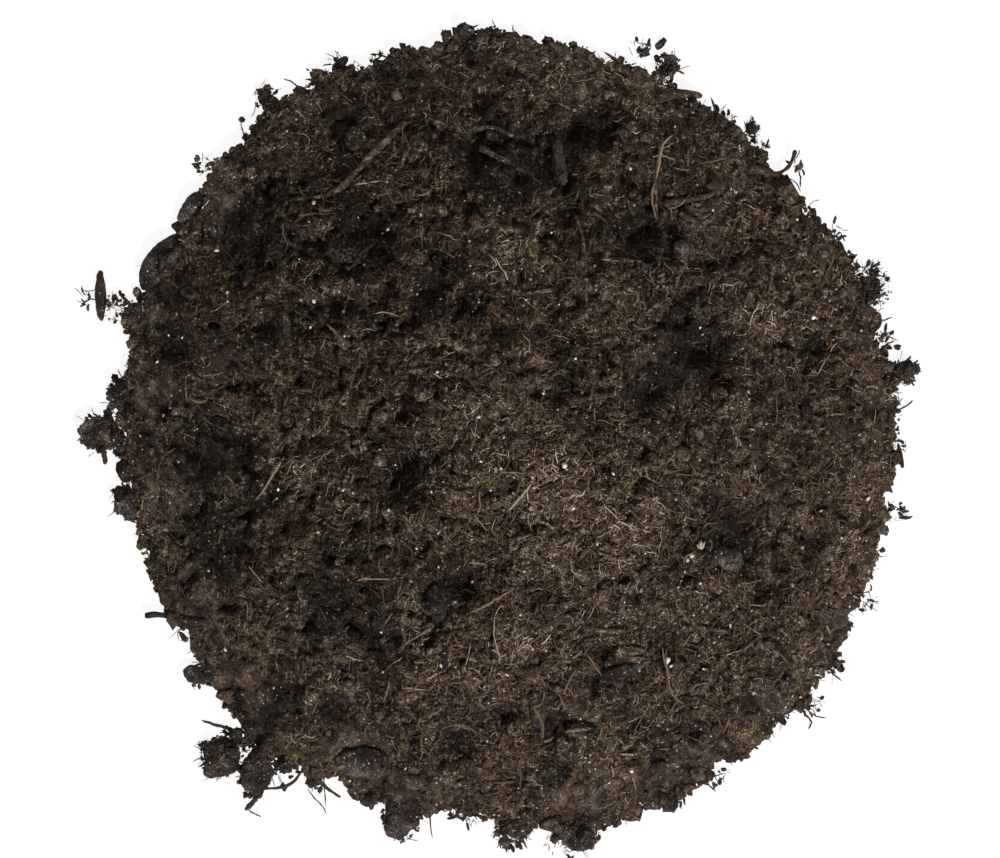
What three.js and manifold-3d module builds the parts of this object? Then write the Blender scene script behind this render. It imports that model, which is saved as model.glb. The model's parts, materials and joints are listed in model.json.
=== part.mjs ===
// A heap of moist garden compost, tipped out on a flat surface: a round, lumpy dome of fine humus with
// roots, twigs, straws, wood, bark and clods lying half sunk in it, and a ragged rim of clods and chips.
// Millimetres, +Z up, the underside on Z = 0 and the origin at its middle, +Y towards the photograph's top.

import * as THREE from 'three';
import { mergeVertices } from 'three/addons/utils/BufferGeometryUtils.js';
import Module from 'manifold-3d';

// Driving sizes of the heap, in millimetres
const HEAP_RADIUS = 156;
const HEAP_HEIGHT = 84;
const RIM_HEIGHT = 3.5;
const LUMP_SPAN = 38;
const LUMP_HEIGHT = 4.5;
const CLUMP_SPAN = 17;
const CLUMP_HEIGHT = 2.2;
const CLEARANCE = 0.3;

// How the dome falls away: 1 is a straight cone, 2 a round bowl upside down
const CROWN_POWER = 1.7;

// How close to the rim the lumps go on: a higher number carries them further out
const INLAND_POWER = 6;

// Keeps the small lumps from lining up with the large ones
const CLUMP_SHIFT = 7.3;

// Fineness of the faceted surfaces
const SURFACE_RINGS = 18;
const TWIG_SIDES = 6;
const STEPS_PER_BEND = 2;
const FINE_CLOD_SIZE = 11;

// Bulges and dips of the rim: direction in degrees from +X, and distance from HEAP_RADIUS
const RIM_LOBES = [
  [0, 2], [20, 3], [40, -4], [60, 0], [80, 4], [100, 2], [120, 5], [150, -1], [175, -3],
  [200, -5], [218, -5], [235, 3], [245, -5], [265, -4], [283, 5], [300, 4], [320, 4], [340, 1],
];

// Dark hollows in the surface: place as shares of the radius along X and Y, then width and depth
const HOLLOWS = [
  { seat: [0.20, 0.77], width: 20, depth: 6 },
  { seat: [0.50, 0.22], width: 20, depth: 6 },
  { seat: [-0.26, -0.06], width: 18, depth: 5 },
  { seat: [-0.11, -0.35], width: 16, depth: 5 },
  { seat: [-0.11, -0.77], width: 18, depth: 5 },
  { seat: [0.10, 0.30], width: 18, depth: 5 },
  { seat: [-0.84, 0.21], width: 16, depth: 4 },
  { seat: [-0.66, -0.03], width: 16, depth: 5 },
  { seat: [-0.37, -0.46], width: 20, depth: 5 },
  { seat: [0.78, 0.22], width: 18, depth: 5 },
];

// Spots of the surface, as shares of the radius along X and Y. Pieces that lie close together share one.
const UPPER_LEFT = [-0.42, 0.63];
const TOP = [0, 0.75];
const UPPER_RIGHT = [0.45, 0.62];
const UPPER_MIDDLE = [0.22, 0.46];
const LEFT = [-0.60, 0.24];
const MIDDLE = [0.15, 0.12];
const MIDDLE_LEFT = [-0.21, -0.46];
const RIGHT = [0.55, -0.30];
const LOWER_MIDDLE = [0.29, -0.55];
const LOWER_RIGHT = [0.57, -0.54];
const LOWER_LEFT = [-0.45, -0.605];
const BOTTOM = [0.14, -0.72];
const BOTTOM_LEFT = [-0.36, -0.83];

// Long thin pieces. The bends are plan offsets from the spot, from one end to the other, and the two
// thicknesses are those of the ends.
const TWIGS = [
  { name: 'long_root', finish: 'root', spot: UPPER_LEFT, thick: [3.4, 1.4],
    bends: [[27, 27], [13, 14], [0, 0], [-9, -3], [-20, -4]] },
  { name: 'twig_short_upper', finish: 'wood', spot: UPPER_LEFT, thick: [2.4, 1.8],
    bends: [[27.5, 16], [25, 11], [22.5, 7]] },
  { name: 'twig_curved_top', finish: 'root', spot: TOP, thick: [1.8, 1.2],
    bends: [[-12, 6], [-3, 6], [4, 3]] },
  { name: 'twig_top_middle', finish: 'wood', spot: TOP, thick: [2.8, 2],
    bends: [[-9, -2], [-3, -5], [3, -8]] },
  { name: 'root_orange', finish: 'straw', spot: UPPER_RIGHT, thick: [2.2, 1.2],
    bends: [[-7.5, 22], [-8, 15], [-10, 7], [-9.5, -1], [-9, -10]] },
  { name: 'twig_bent_right', finish: 'wood', spot: UPPER_RIGHT, thick: [2.6, 1.6],
    bends: [[-6, -4], [5, -2], [13, 0], [17, 4]] },
  { name: 'twig_right_slope', finish: 'wood', spot: UPPER_RIGHT, thick: [1.8, 3],
    bends: [[0, -7.5], [8, -12.5], [13, -19.5]] },
  { name: 'straw_orange', finish: 'straw', spot: UPPER_MIDDLE, thick: [1.3, 1.1],
    bends: [[4.5, -1], [12.5, -1.5], [20.5, -2]] },
  { name: 'root_curved_upper', finish: 'root', spot: UPPER_MIDDLE, thick: [1.4, 2.2],
    bends: [[-5.5, 16], [-2.5, 7], [-3, -3]] },
  { name: 'twig_middle', finish: 'root', spot: UPPER_MIDDLE, thick: [2.2, 1.4],
    bends: [[-13, -13], [-20, -14], [-26.5, -15]] },
  { name: 'stalk_left', finish: 'wood', spot: LEFT, thick: [3.4, 2.4],
    bends: [[6.5, 12.5], [8, 4.5], [9, -3.5]] },
  { name: 'splinter_middle', finish: 'wood', spot: MIDDLE, thick: [2.6, 1.2],
    bends: [[21.5, -1.5], [11.5, -3], [2.5, -4.5]] },
  { name: 'root_curved_middle', finish: 'root', spot: MIDDLE_LEFT, thick: [1.6, 1.2],
    bends: [[-2, 8], [-6, 3], [-7.5, -3], [-6, -10], [-9, -14]] },
  { name: 'twig_curved_right', finish: 'root', spot: LOWER_MIDDLE, thick: [2.2, 1.6],
    bends: [[-13.5, 10.5], [-4.5, 8.5], [5.5, 9]] },
  { name: 'straw_lower_left', finish: 'straw', spot: LOWER_LEFT, thick: [1.7, 1.3],
    bends: [[9, -2], [14, 0], [19.5, 2]] },
  { name: 'root_curved_lower_left', finish: 'root', spot: LOWER_LEFT, thick: [2.4, 1.6],
    bends: [[-21, 4.5], [-15, 0], [-8, 0.5]] },
  { name: 'twig_lower_right', finish: 'wood', spot: LOWER_RIGHT, thick: [2.6, 1.8],
    bends: [[-15, 9], [-7, 8], [1, 6.5]] },
  { name: 'twig_diagonal_right', finish: 'wood', spot: LOWER_RIGHT, thick: [2.2, 1.4],
    bends: [[3.5, -3], [8.5, 1], [13, 4.5]] },
];

// Flat pieces lying on the slope: plan offset from the spot, and length, width and thickness, turned by
// heading from +X
const CHIPS = [
  { name: 'wood_strip_top', finish: 'wood', spot: TOP, offset: [22.5, -8],
    size: [23, 4.8, 2.2], heading: 88 },
  { name: 'bark_chip_left', finish: 'bark', spot: LEFT, offset: [-12.5, -4.5],
    size: [16, 5, 2.6], heading: -12 },
  { name: 'wood_chip_right', finish: 'wood', spot: LOWER_MIDDLE, offset: [5, 1],
    size: [14, 3.4, 2], heading: -7 },
];

// Lumps on the surface: plan offset from the spot, and three sizes, turned by heading from +X
const CLODS = [
  { name: 'clod_upper_right', spot: UPPER_RIGHT, offset: [1.5, -23.5], size: [11, 10, 7], heading: 20 },
  { name: 'clod_middle', spot: MIDDLE, offset: [-13, 3], size: [10, 8, 6], heading: 10 },
  { name: 'clod_middle_left', spot: MIDDLE_LEFT, offset: [6, 4.5], size: [11, 9, 7], heading: 80 },
  { name: 'clod_dark_right', spot: LOWER_MIDDLE, offset: [1.5, -8.5], size: [16, 9, 6], heading: 5 },
  { name: 'clod_grey_right', spot: RIGHT, offset: [3, -1.5], size: [14, 8, 6], heading: -25 },
  { name: 'clod_lower_right', spot: LOWER_RIGHT, offset: [-9.5, -12.5], size: [13, 10, 7], heading: 40 },
  { name: 'clod_grey_lower', spot: BOTTOM, offset: [9.5, -4], size: [14, 7, 5.5], heading: -4 },
  { name: 'slab_bottom', spot: BOTTOM_LEFT, offset: [0, 0], size: [24, 14, 7], heading: 12 },
  { name: 'wood_chunk_lower', spot: BOTTOM, offset: [-8, 4.5], size: [17, 6, 5], heading: 97,
    finish: 'bark' },
  { name: 'bud_yellow', spot: RIGHT, offset: [-7, 4.5], size: [4.4, 3.6, 3.2], heading: 60, finish: 'grain' },
];

// Directions of the rim, in degrees from +X. Pieces that lie close together share one, and each has its
// own distance outwards from the rim and to the left along it, seen from the middle of the heap.
const RIM_RIGHT = 0;
const RIM_RIGHT_HIGH = 22;
const RIM_UPPER_RIGHT = 45;
const RIM_TOP_RIGHT = 61.5;
const RIM_TOP_LEFT = 118;
const RIM_UPPER_LEFT = 149;
const RIM_LEFT = 180;
const RIM_LEFT_LOW = 208;
const RIM_LOWER_LEFT = 233.5;
const RIM_BOTTOM = 266;

// Twigs that stick out of the rim, with one [out, left] pair for each bend
const RIM_TWIGS = [
  { name: 'twig_rim_upper_right', finish: 'wood', toward: RIM_TOP_RIGHT, thick: [4.4, 3],
    bends: [[-9, 11], [-2, 4], [2, -5]] },
  { name: 'twig_rim_right', finish: 'wood', toward: RIM_UPPER_RIGHT, thick: [4.6, 2],
    bends: [[-8, 7], [-2.5, -1], [1.8, -9]],
    fork: { thick: [2, 1.1], bends: [[-1.2, -3], [5, -4.3], [11, -1.7]] } },
  { name: 'root_rim_left', finish: 'bark', toward: RIM_LEFT_LOW, thick: [2.6, 3.2],
    bends: [[9, -4], [3, -1.5], [-4, 5], [-12, 11]] },
  { name: 'twig_rim_lower_left', finish: 'wood', toward: RIM_LOWER_LEFT, thick: [2.2, 1.4],
    bends: [[-1, 18], [5, 26], [7, 34]] },
];

// Clods that form the rim and rest on the ground: place of the middle, and three sizes, turned by
// heading from +X
const RIM_CLODS = [
  { name: 'slab_rim_upper_left', toward: RIM_UPPER_LEFT, place: [-1, -14], size: [8, 17, 9], heading: 144 },
  { name: 'slab_rim_left_upper', toward: RIM_UPPER_LEFT, place: [-1, 11], size: [10, 27, 10], heading: 148 },
  { name: 'clump_rim_left_upper', toward: RIM_UPPER_LEFT, place: [3, 33], size: [22, 12, 7], heading: 161 },
  { name: 'sliver_rim_left', toward: RIM_UPPER_LEFT, place: [16.55, 31.2], size: [4.4, 20, 3.6], heading: 182,
    finish: 'bark' },
  { name: 'clod_rim_left_high', toward: RIM_LEFT, place: [1, -17.5], size: [8, 13, 8], heading: 173 },
  { name: 'clod_rim_left', toward: RIM_LEFT, place: [8, -1.5], size: [15, 14, 10], heading: 160 },
  { name: 'clod_rim_left_low', toward: RIM_LEFT, place: [1, 26], size: [8, 13, 8], heading: 200 },
  { name: 'clod_rim_lower_left_high', toward: RIM_LEFT_LOW, place: [2.5, 27], size: [12, 8, 7],
    heading: 188 },
  { name: 'clod_rim_lower_left', toward: RIM_LOWER_LEFT, place: [8, 0], size: [11.5, 21, 10], heading: 0 },
  { name: 'clod_rim_lower_left_outer', toward: RIM_LOWER_LEFT, place: [13.8, -13.6], size: [15.5, 15, 9],
    heading: 0 },
  { name: 'tongue_rim_bottom', toward: RIM_BOTTOM, place: [3, -29], size: [26, 15, 9], heading: 267 },
  { name: 'clump_rim_bottom', toward: RIM_BOTTOM, place: [1, 14], size: [12, 12, 8], heading: 271 },
  { name: 'clod_rim_bottom', toward: RIM_BOTTOM, place: [-1, 40], size: [16, 18, 10], heading: 281 },
  { name: 'chip_rim_right', toward: RIM_RIGHT, place: [2.5, -7], size: [5, 10, 3.5], heading: 11,
    finish: 'bark' },
  { name: 'tuft_rim_right', toward: RIM_RIGHT, place: [4, 26], size: [12, 7, 6], heading: 15 },
  { name: 'tuft_rim_right_high', toward: RIM_RIGHT_HIGH, place: [1, 0], size: [11, 13, 8], heading: 22 },
  { name: 'clod_rim_top_right', toward: RIM_TOP_RIGHT, place: [5, 12.5], size: [12, 7, 7], heading: 61 },
  { name: 'chip_rim_top_left', toward: RIM_TOP_LEFT, place: [2.5, -12.4], size: [9, 4, 4], heading: 47,
    finish: 'bark' },
  { name: 'tuft_rim_top_left', toward: RIM_TOP_LEFT, place: [4, 20], size: [11, 8, 6], heading: 115 },
];

// Colour, roughness and metalness of each kind of piece
const FINISHES = {
  compost: [0x352d25, 0.95, 0],
  clod: [0x2f2823, 0.9, 0],
  root: [0x6a543d, 0.8, 0],
  wood: [0x57452f, 0.85, 0],
  bark: [0x3a2e27, 0.9, 0],
  straw: [0x8c6b42, 0.75, 0],
  grain: [0xcdbb8e, 0.65, 0],
};

const wasm = await Module();
wasm.setup();

const Z_AXIS = new THREE.Vector3(0, 0, 1);

// A repeatable number from 0 to 1 for each corner of a square lattice: the three factors only have to be
// large and uneven enough that neighbouring corners get unlike values
function cornerValue(column, row) {
  const wave = Math.sin(column * 127.1 + row * 311.7) * 43758.5453;
  return wave - Math.floor(wave);
}

// Smooth noise from -1 to 1 over the plan, with one swell for each unit of length
function swell(x, y) {
  const column = Math.floor(x);
  const row = Math.floor(y);
  const across = THREE.MathUtils.smoothstep(x - column, 0, 1);
  const along = THREE.MathUtils.smoothstep(y - row, 0, 1);
  const near = THREE.MathUtils.lerp(cornerValue(column, row), cornerValue(column + 1, row), across);
  const far = THREE.MathUtils.lerp(cornerValue(column, row + 1), cornerValue(column + 1, row + 1), across);
  return 2 * THREE.MathUtils.lerp(near, far, along) - 1;
}

// The rim's distance from the middle in a direction given in radians
function rimRadius(angle) {
  const degrees = THREE.MathUtils.euclideanModulo(THREE.MathUtils.radToDeg(angle), 360);
  const after = RIM_LOBES.findIndex(([lobe]) => lobe > degrees);
  const [end, endOffset] = after < 0 ? [360, RIM_LOBES[0][1]] : RIM_LOBES[after];
  const [start, startOffset] = RIM_LOBES[(after < 0 ? RIM_LOBES.length : after) - 1];
  const blend = THREE.MathUtils.smoothstep(degrees, start, end);
  return HEAP_RADIUS + THREE.MathUtils.lerp(startOffset, endOffset, blend);
}

// Height of the compost's surface over a point of the plan
function surfaceHeight(x, y) {
  const share = Math.min(1, Math.hypot(x, y) / rimRadius(Math.atan2(y, x)));
  const dome = (HEAP_HEIGHT - RIM_HEIGHT) * (1 - share ** CROWN_POWER);
  const inland = 1 - share ** INLAND_POWER;
  const lumps = LUMP_HEIGHT * swell(x / LUMP_SPAN, y / LUMP_SPAN);
  const clumps = CLUMP_HEIGHT * swell(x / CLUMP_SPAN + CLUMP_SHIFT, y / CLUMP_SPAN);
  let hollows = 0;
  for (const { seat, width, depth } of HOLLOWS) {
    const away = Math.hypot(x - seat[0] * HEAP_RADIUS, y - seat[1] * HEAP_RADIUS) / (width / 2);
    hollows += depth * Math.exp(-away * away);
  }
  return RIM_HEIGHT + dome + inland * (lumps + clumps - hollows);
}

// The way that the slope faces, taken over a few millimetres of the plan
function slopeNormal(x, y) {
  const reach = 4;
  const rise = surfaceHeight(x + reach, y) - surfaceHeight(x - reach, y);
  const climb = surfaceHeight(x, y + reach) - surfaceHeight(x, y - reach);
  return new THREE.Vector3(-rise, -climb, 2 * reach).normalize();
}

// A point of the plan: an offset from a spot of the surface
function besideSpot(spot, [right, up]) {
  return [spot[0] * HEAP_RADIUS + right, spot[1] * HEAP_RADIUS + up];
}

// A point of the plan: distances outwards from the rim and to the left along it, from one of its directions
function besideRim(toward, [out, left]) {
  const start = THREE.MathUtils.degToRad(toward);
  const angle = start + left / rimRadius(start);
  const reach = rimRadius(angle) + out;
  return [reach * Math.cos(angle), reach * Math.sin(angle)];
}

function geometryOf(positions, faces) {
  const geometry = new THREE.BufferGeometry();
  geometry.setAttribute('position', new THREE.Float32BufferAttribute(positions, 3));
  geometry.setIndex(faces);
  return geometry;
}

function solidOf(geometry) {
  const bare = geometry.clone();
  bare.deleteAttribute('normal');
  bare.deleteAttribute('uv');
  const merged = mergeVertices(bare, 1e-4);
  const mesh = new wasm.Mesh({
    numProp: 3,
    vertProperties: Float32Array.from(merged.attributes.position.array),
    triVerts: Uint32Array.from(merged.index.array),
  });
  return new wasm.Manifold(mesh);
}

function geometryFrom(solid) {
  const mesh = solid.getMesh();
  return geometryOf(Array.from(mesh.vertProperties), Array.from(mesh.triVerts));
}

// The whole dome: rings of six more points each, a short upright edge and a flat underside
function domeGeometry() {
  const positions = [0, 0, surfaceHeight(0, 0)];
  const faces = [];
  const ringStart = (ring) => (ring === 0 ? 0 : 1 + 3 * ring * (ring - 1));
  for (let ring = 1; ring <= SURFACE_RINGS; ring += 1) {
    for (let step = 0; step < 6 * ring; step += 1) {
      const angle = (step / (6 * ring)) * 2 * Math.PI;
      const reach = (ring / SURFACE_RINGS) * rimRadius(angle);
      const x = reach * Math.cos(angle);
      const y = reach * Math.sin(angle);
      positions.push(x, y, surfaceHeight(x, y));
    }
  }
  for (let ring = 1; ring <= SURFACE_RINGS; ring += 1) {
    const outer = (step) => ringStart(ring) + (step % (6 * ring));
    const inner = (step) => ringStart(ring - 1) + (ring === 1 ? 0 : step % (6 * (ring - 1)));
    for (let side = 0; side < 6; side += 1) {
      for (let step = 0; step < ring; step += 1) {
        const far = side * ring + step;
        const near = side * (ring - 1) + step;
        faces.push(outer(far), outer(far + 1), inner(near));
        if (step < ring - 1) faces.push(inner(near), outer(far + 1), inner(near + 1));
      }
    }
  }
  const rimCount = 6 * SURFACE_RINGS;
  const rimStart = ringStart(SURFACE_RINGS);
  const footStart = positions.length / 3;
  for (let step = 0; step < rimCount; step += 1) {
    positions.push(positions[3 * (rimStart + step)], positions[3 * (rimStart + step) + 1], 0);
  }
  const middle = positions.length / 3;
  positions.push(0, 0, 0);
  for (let step = 0; step < rimCount; step += 1) {
    const next = (step + 1) % rimCount;
    faces.push(rimStart + step, footStart + step, rimStart + next);
    faces.push(rimStart + next, footStart + step, footStart + next);
    faces.push(middle, footStart + next, footStart + step);
  }
  return geometryOf(positions, faces);
}

// A tapering round piece along a smooth line; grown adds to its radius and to both ends
function twigGeometry(points, [startThick, endThick], grown = 0) {
  const curve = new THREE.CatmullRomCurve3(points, false, 'centripetal');
  const steps = (points.length - 1) * STEPS_PER_BEND;
  const frames = curve.computeFrenetFrames(steps);
  const positions = [];
  const faces = [];
  for (let step = 0; step <= steps; step += 1) {
    const centre = curve.getPointAt(step / steps);
    if (step === 0) centre.addScaledVector(frames.tangents[0], -grown);
    if (step === steps) centre.addScaledVector(frames.tangents[steps], grown);
    const radius = THREE.MathUtils.lerp(startThick, endThick, step / steps) / 2 + grown;
    for (let side = 0; side < TWIG_SIDES; side += 1) {
      const turn = (side / TWIG_SIDES) * 2 * Math.PI;
      const point = centre.clone();
      point.addScaledVector(frames.normals[step], radius * Math.cos(turn));
      point.addScaledVector(frames.binormals[step], radius * Math.sin(turn));
      positions.push(point.x, point.y, point.z);
    }
  }
  const corner = (step, side) => step * TWIG_SIDES + (side % TWIG_SIDES);
  for (let step = 0; step < steps; step += 1) {
    for (let side = 0; side < TWIG_SIDES; side += 1) {
      faces.push(corner(step, side), corner(step, side + 1), corner(step + 1, side));
      faces.push(corner(step, side + 1), corner(step + 1, side + 1), corner(step + 1, side));
    }
  }
  for (let side = 1; side < TWIG_SIDES - 1; side += 1) {
    faces.push(corner(0, 0), corner(0, side + 1), corner(0, side));
    faces.push(corner(steps, 0), corner(steps, side), corner(steps, side + 1));
  }
  return geometryOf(positions, faces);
}

// A rough lump inside a box of the given sizes, centred on the origin
function lumpGeometry(size, seed, grown = 0) {
  const detail = Math.max(...size) > FINE_CLOD_SIZE ? 2 : 1;
  const geometry = mergeVertices(bareBall(detail));
  const places = geometry.attributes.position;
  const roughness = 0.14;
  const bumpsAcross = 2.1;
  for (let i = 0; i < places.count; i += 1) {
    const point = new THREE.Vector3().fromBufferAttribute(places, i).multiplyScalar(bumpsAcross);
    const bump = 1 + roughness * swell(point.x + seed, point.y + point.z - seed);
    point.multiplyScalar(bump / bumpsAcross);
    places.setXYZ(
      i,
      point.x * (size[0] / 2) + Math.sign(point.x) * grown,
      point.y * (size[1] / 2) + Math.sign(point.y) * grown,
      point.z * (size[2] / 2) + Math.sign(point.z) * grown,
    );
  }
  return geometry;
}

function bareBall(detail) {
  const ball = new THREE.IcosahedronGeometry(1, detail);
  ball.deleteAttribute('normal');
  ball.deleteAttribute('uv');
  return ball;
}

// A flat splinter with torn ends, lying along X and centred on the origin
function chipGeometry([length, width, thick], grown = 0) {
  const half = length / 2 + grown;
  const side = width / 2 + grown;
  const outline = new THREE.Shape([
    new THREE.Vector2(-half, -0.45 * side),
    new THREE.Vector2(-0.72 * half, -side),
    new THREE.Vector2(0.35 * half, -0.86 * side),
    new THREE.Vector2(0.8 * half, -0.6 * side),
    new THREE.Vector2(half, 0.15 * side),
    new THREE.Vector2(0.7 * half, 0.9 * side),
    new THREE.Vector2(-0.2 * half, side),
    new THREE.Vector2(-0.85 * half, 0.7 * side),
  ]);
  const depth = thick + 2 * grown;
  return new THREE.ExtrudeGeometry(outline, { depth, bevelEnabled: false }).translate(0, 0, -depth / 2);
}

// Lays a piece on the slope, with its X axis along the heading, and its middle a little above the surface
function slopeMatrix([x, y], heading, rise) {
  const normal = slopeNormal(x, y);
  const turn = new THREE.Quaternion().setFromAxisAngle(Z_AXIS, THREE.MathUtils.degToRad(heading));
  const tilt = new THREE.Quaternion().setFromUnitVectors(Z_AXIS, normal);
  const place = new THREE.Vector3(x, y, surfaceHeight(x, y)).addScaledVector(normal, rise);
  return new THREE.Matrix4().compose(place, tilt.multiply(turn), new THREE.Vector3(1, 1, 1));
}

// Stands a rim piece on the ground, and flattens what would reach below it
function onGround(geometry, [x, y], heading, height) {
  geometry.rotateZ(THREE.MathUtils.degToRad(heading)).translate(x, y, height);
  const places = geometry.attributes.position;
  for (let i = 0; i < places.count; i += 1) places.setZ(i, Math.max(0, places.getZ(i)));
  return geometry;
}

const heap = new THREE.Group();
const sockets = [];

function addPiece(name, finish, geometry) {
  const [color, roughness, metalness] = FINISHES[finish];
  const mesh = new THREE.Mesh(geometry, new THREE.MeshStandardMaterial({ color, roughness, metalness }));
  mesh.name = name;
  heap.add(mesh);
}

// Twigs, roots and straws lie half sunk, a little higher than their middle
function addTwigs() {
  const shareAbove = 0.3;
  for (const { name, finish, spot, thick, bends } of TWIGS) {
    const points = bends.map((bend) => {
      const [x, y] = besideSpot(spot, bend);
      return new THREE.Vector3(x, y, surfaceHeight(x, y) + shareAbove * Math.min(...thick));
    });
    addPiece(name, finish, twigGeometry(points, thick));
    sockets.push(twigGeometry(points, thick, CLEARANCE));
  }
}

function rimTwigGeometry({ toward, thick, bends }, grown = 0) {
  const clearOfGround = Math.max(...thick) / 2 + CLEARANCE;
  const points = bends.map((bend) => {
    const [x, y] = besideRim(toward, bend);
    return new THREE.Vector3(x, y, Math.max(surfaceHeight(x, y), clearOfGround));
  });
  return twigGeometry(points, thick, grown);
}

// A forked twig is one solid with its side branch
function addRimTwigs() {
  for (const twig of RIM_TWIGS) {
    const [body, socket] = [0, CLEARANCE].map((grown) => {
      const stem = rimTwigGeometry(twig, grown);
      if (!twig.fork) return stem;
      const branch = rimTwigGeometry({ toward: twig.toward, ...twig.fork }, grown);
      return geometryFrom(solidOf(stem).add(solidOf(branch)));
    });
    addPiece(twig.name, twig.finish, body);
    sockets.push(socket);
  }
}

function addChips() {
  const shareAbove = 0.2;
  for (const { name, finish, spot, offset, size, heading } of CHIPS) {
    const place = slopeMatrix(besideSpot(spot, offset), heading, shareAbove * size[2]);
    addPiece(name, finish, chipGeometry(size).applyMatrix4(place));
    sockets.push(chipGeometry(size, CLEARANCE).applyMatrix4(place));
  }
}

function addClods() {
  const shareAbove = 0.1;
  CLODS.forEach(({ name, finish = 'clod', spot, offset, size, heading }, index) => {
    const place = slopeMatrix(besideSpot(spot, offset), heading, shareAbove * size[2]);
    addPiece(name, finish, lumpGeometry(size, index).applyMatrix4(place));
    sockets.push(lumpGeometry(size, index, CLEARANCE).applyMatrix4(place));
  });
}

function addRimClods() {
  const middleShare = 0.36;
  RIM_CLODS.forEach(({ name, finish = 'clod', toward, place, size, heading }, index) => {
    const seed = CLODS.length + index;
    const height = middleShare * size[2];
    const middle = besideRim(toward, place);
    addPiece(name, finish, onGround(lumpGeometry(size, seed), middle, heading, height));
    sockets.push(onGround(lumpGeometry(size, seed, CLEARANCE), middle, heading, height));
  });
}

// The fine compost is the dome less a socket round each piece
function addCompost() {
  const cutters = sockets.map(solidOf);
  const cut = solidOf(domeGeometry()).subtract(wasm.Manifold.union(cutters));
  const bodies = cut.decompose().sort((a, b) => b.volume() - a.volume());
  addPiece('compost_mass', 'compost', geometryFrom(bodies[0]));
}

addTwigs();
addRimTwigs();
addChips();
addClods();
addRimClods();
addCompost();

export default heap;
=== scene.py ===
import json
import math

import bmesh
import bpy
import numpy as np
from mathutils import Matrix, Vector
from mathutils.bvhtree import BVHTree


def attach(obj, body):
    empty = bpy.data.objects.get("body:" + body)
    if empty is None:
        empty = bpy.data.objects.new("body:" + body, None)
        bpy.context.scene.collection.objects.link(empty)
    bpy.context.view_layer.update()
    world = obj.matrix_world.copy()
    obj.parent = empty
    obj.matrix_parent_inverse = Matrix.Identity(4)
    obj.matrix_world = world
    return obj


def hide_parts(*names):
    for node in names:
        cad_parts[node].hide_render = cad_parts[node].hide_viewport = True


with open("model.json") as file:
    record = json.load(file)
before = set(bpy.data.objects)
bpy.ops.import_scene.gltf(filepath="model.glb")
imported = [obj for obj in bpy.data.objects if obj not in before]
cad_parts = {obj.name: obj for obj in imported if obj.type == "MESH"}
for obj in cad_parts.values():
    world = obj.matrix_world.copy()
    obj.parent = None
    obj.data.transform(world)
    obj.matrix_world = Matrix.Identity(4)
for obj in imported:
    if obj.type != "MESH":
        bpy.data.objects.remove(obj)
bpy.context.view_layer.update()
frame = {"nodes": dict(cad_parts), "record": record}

MM = 0.001

# The photograph: its frame in pixels, the width that it shows, and the pixel over the heap's middle
PHOTO_WIDTH, PHOTO_HEIGHT = 1000, 858
PHOTO_SPAN = 400 * MM
PIXEL = PHOTO_SPAN / PHOTO_WIDTH
MIDDLE_PIXEL = (503, 437)

# The camera stands far away, so that the high middle isn't drawn larger than the rim
CAMERA_HEIGHT = 8.0

# How the surface of the frame is sampled
SAMPLE_STEP = 1 * MM
SAMPLE_HALF = 176 * MM
CAST_FROM = 0.5

# The finer grid that the layers of crumbs and fibres pile up on
TOP_STEP = 0.5 * MM

# Roughly the heap's radius in millimetres, for noise that runs round the rim
NOISE_RADIUS = 150

# Unevenness as sums of smooth swells: strength, length in millimetres and seed of each. A wobble's
# strength is in millimetres too.
SHADE_SWELLS = [(1, 12, 41), (0.8, 5, 43), (0.6, 2.3, 45)]
RIM_WOBBLES = [(1.3, 9, 23), (1.2, 2.6, 25), (1.2, 17, 27), (1.5, 4.6, 29)]

# Lumps of the crumbly surface: height and width in millimetres, and seed. The surface is lowered by about
# their middle height, and stays this high at the rim.
SURFACE_LUMPS = [(3.6, 11, 5), (2.2, 4.9, 9), (0.8, 2.3, 13)]
LUMP_DROP = 3.2 * MM
LEAST_HEIGHT = 0.4 * MM

# Depth of the small pits and of the dark patches, and how far below 0 the noise is where a pit begins
PIT_DEPTH = 5 * MM
PIT_LEVEL = 0.35
PATCH_DEPTH = 2.5 * MM

# How many pieces of each kind, and how fine
SKIN_RINGS = 122
COARSE_CRUMBS = 700
MIDDLE_CRUMBS = 7000
FINE_CRUMBS = 2400
FINE_FIBRES = 9600
FIBRES = 3700
ROOTLETS = 260
STICKS = 620
SHREDS = 500
GRAINS = 1000
RIM_CRUMBS = 2000
RIM_CLUMPS = 260
RIM_NEEDLES = 600
CLOD_CRUMBS = 1200
CLOD_NEEDLES = 160

# How unlike a lump's three widths may be, and how far it reaches from its middle as a share of its width
STRETCH = 0.4
LUMP_REACH = 0.42

# Points along each needle, and the share of a fringe that is needles rather than chips
NEEDLE_POINTS = 5
NEEDLE_SHARE = 0.7

# Random places tried for each one that is wanted
TRIES = 6

# Dark hollows: column and row in the photograph, width in its pixels, and depth in millimetres
HOLLOWS = [
    (582, 135, 30, 9), (697, 350, 34, 9), (645, 235, 30, 8), (400, 465, 26, 7), (458, 584, 24, 7),
    (459, 738, 34, 8), (169, 350, 18, 5), (244, 449, 28, 6), (816, 348, 24, 6), (340, 600, 32, 8),
    (480, 155, 40, 7), (365, 235, 36, 7), (430, 285, 34, 7), (545, 165, 34, 7), (215, 460, 34, 6),
    (235, 540, 30, 6), (650, 392, 24, 6), (735, 530, 24, 6), (240, 215, 30, 5), (555, 395, 22, 5),
    (600, 650, 26, 6), (270, 330, 24, 5), (505, 715, 24, 6), (300, 690, 24, 5), (400, 560, 18, 5),
    (760, 590, 22, 5), (345, 305, 26, 5), (500, 330, 20, 5), (800, 440, 24, 5), (560, 720, 18, 5),
]

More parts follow.
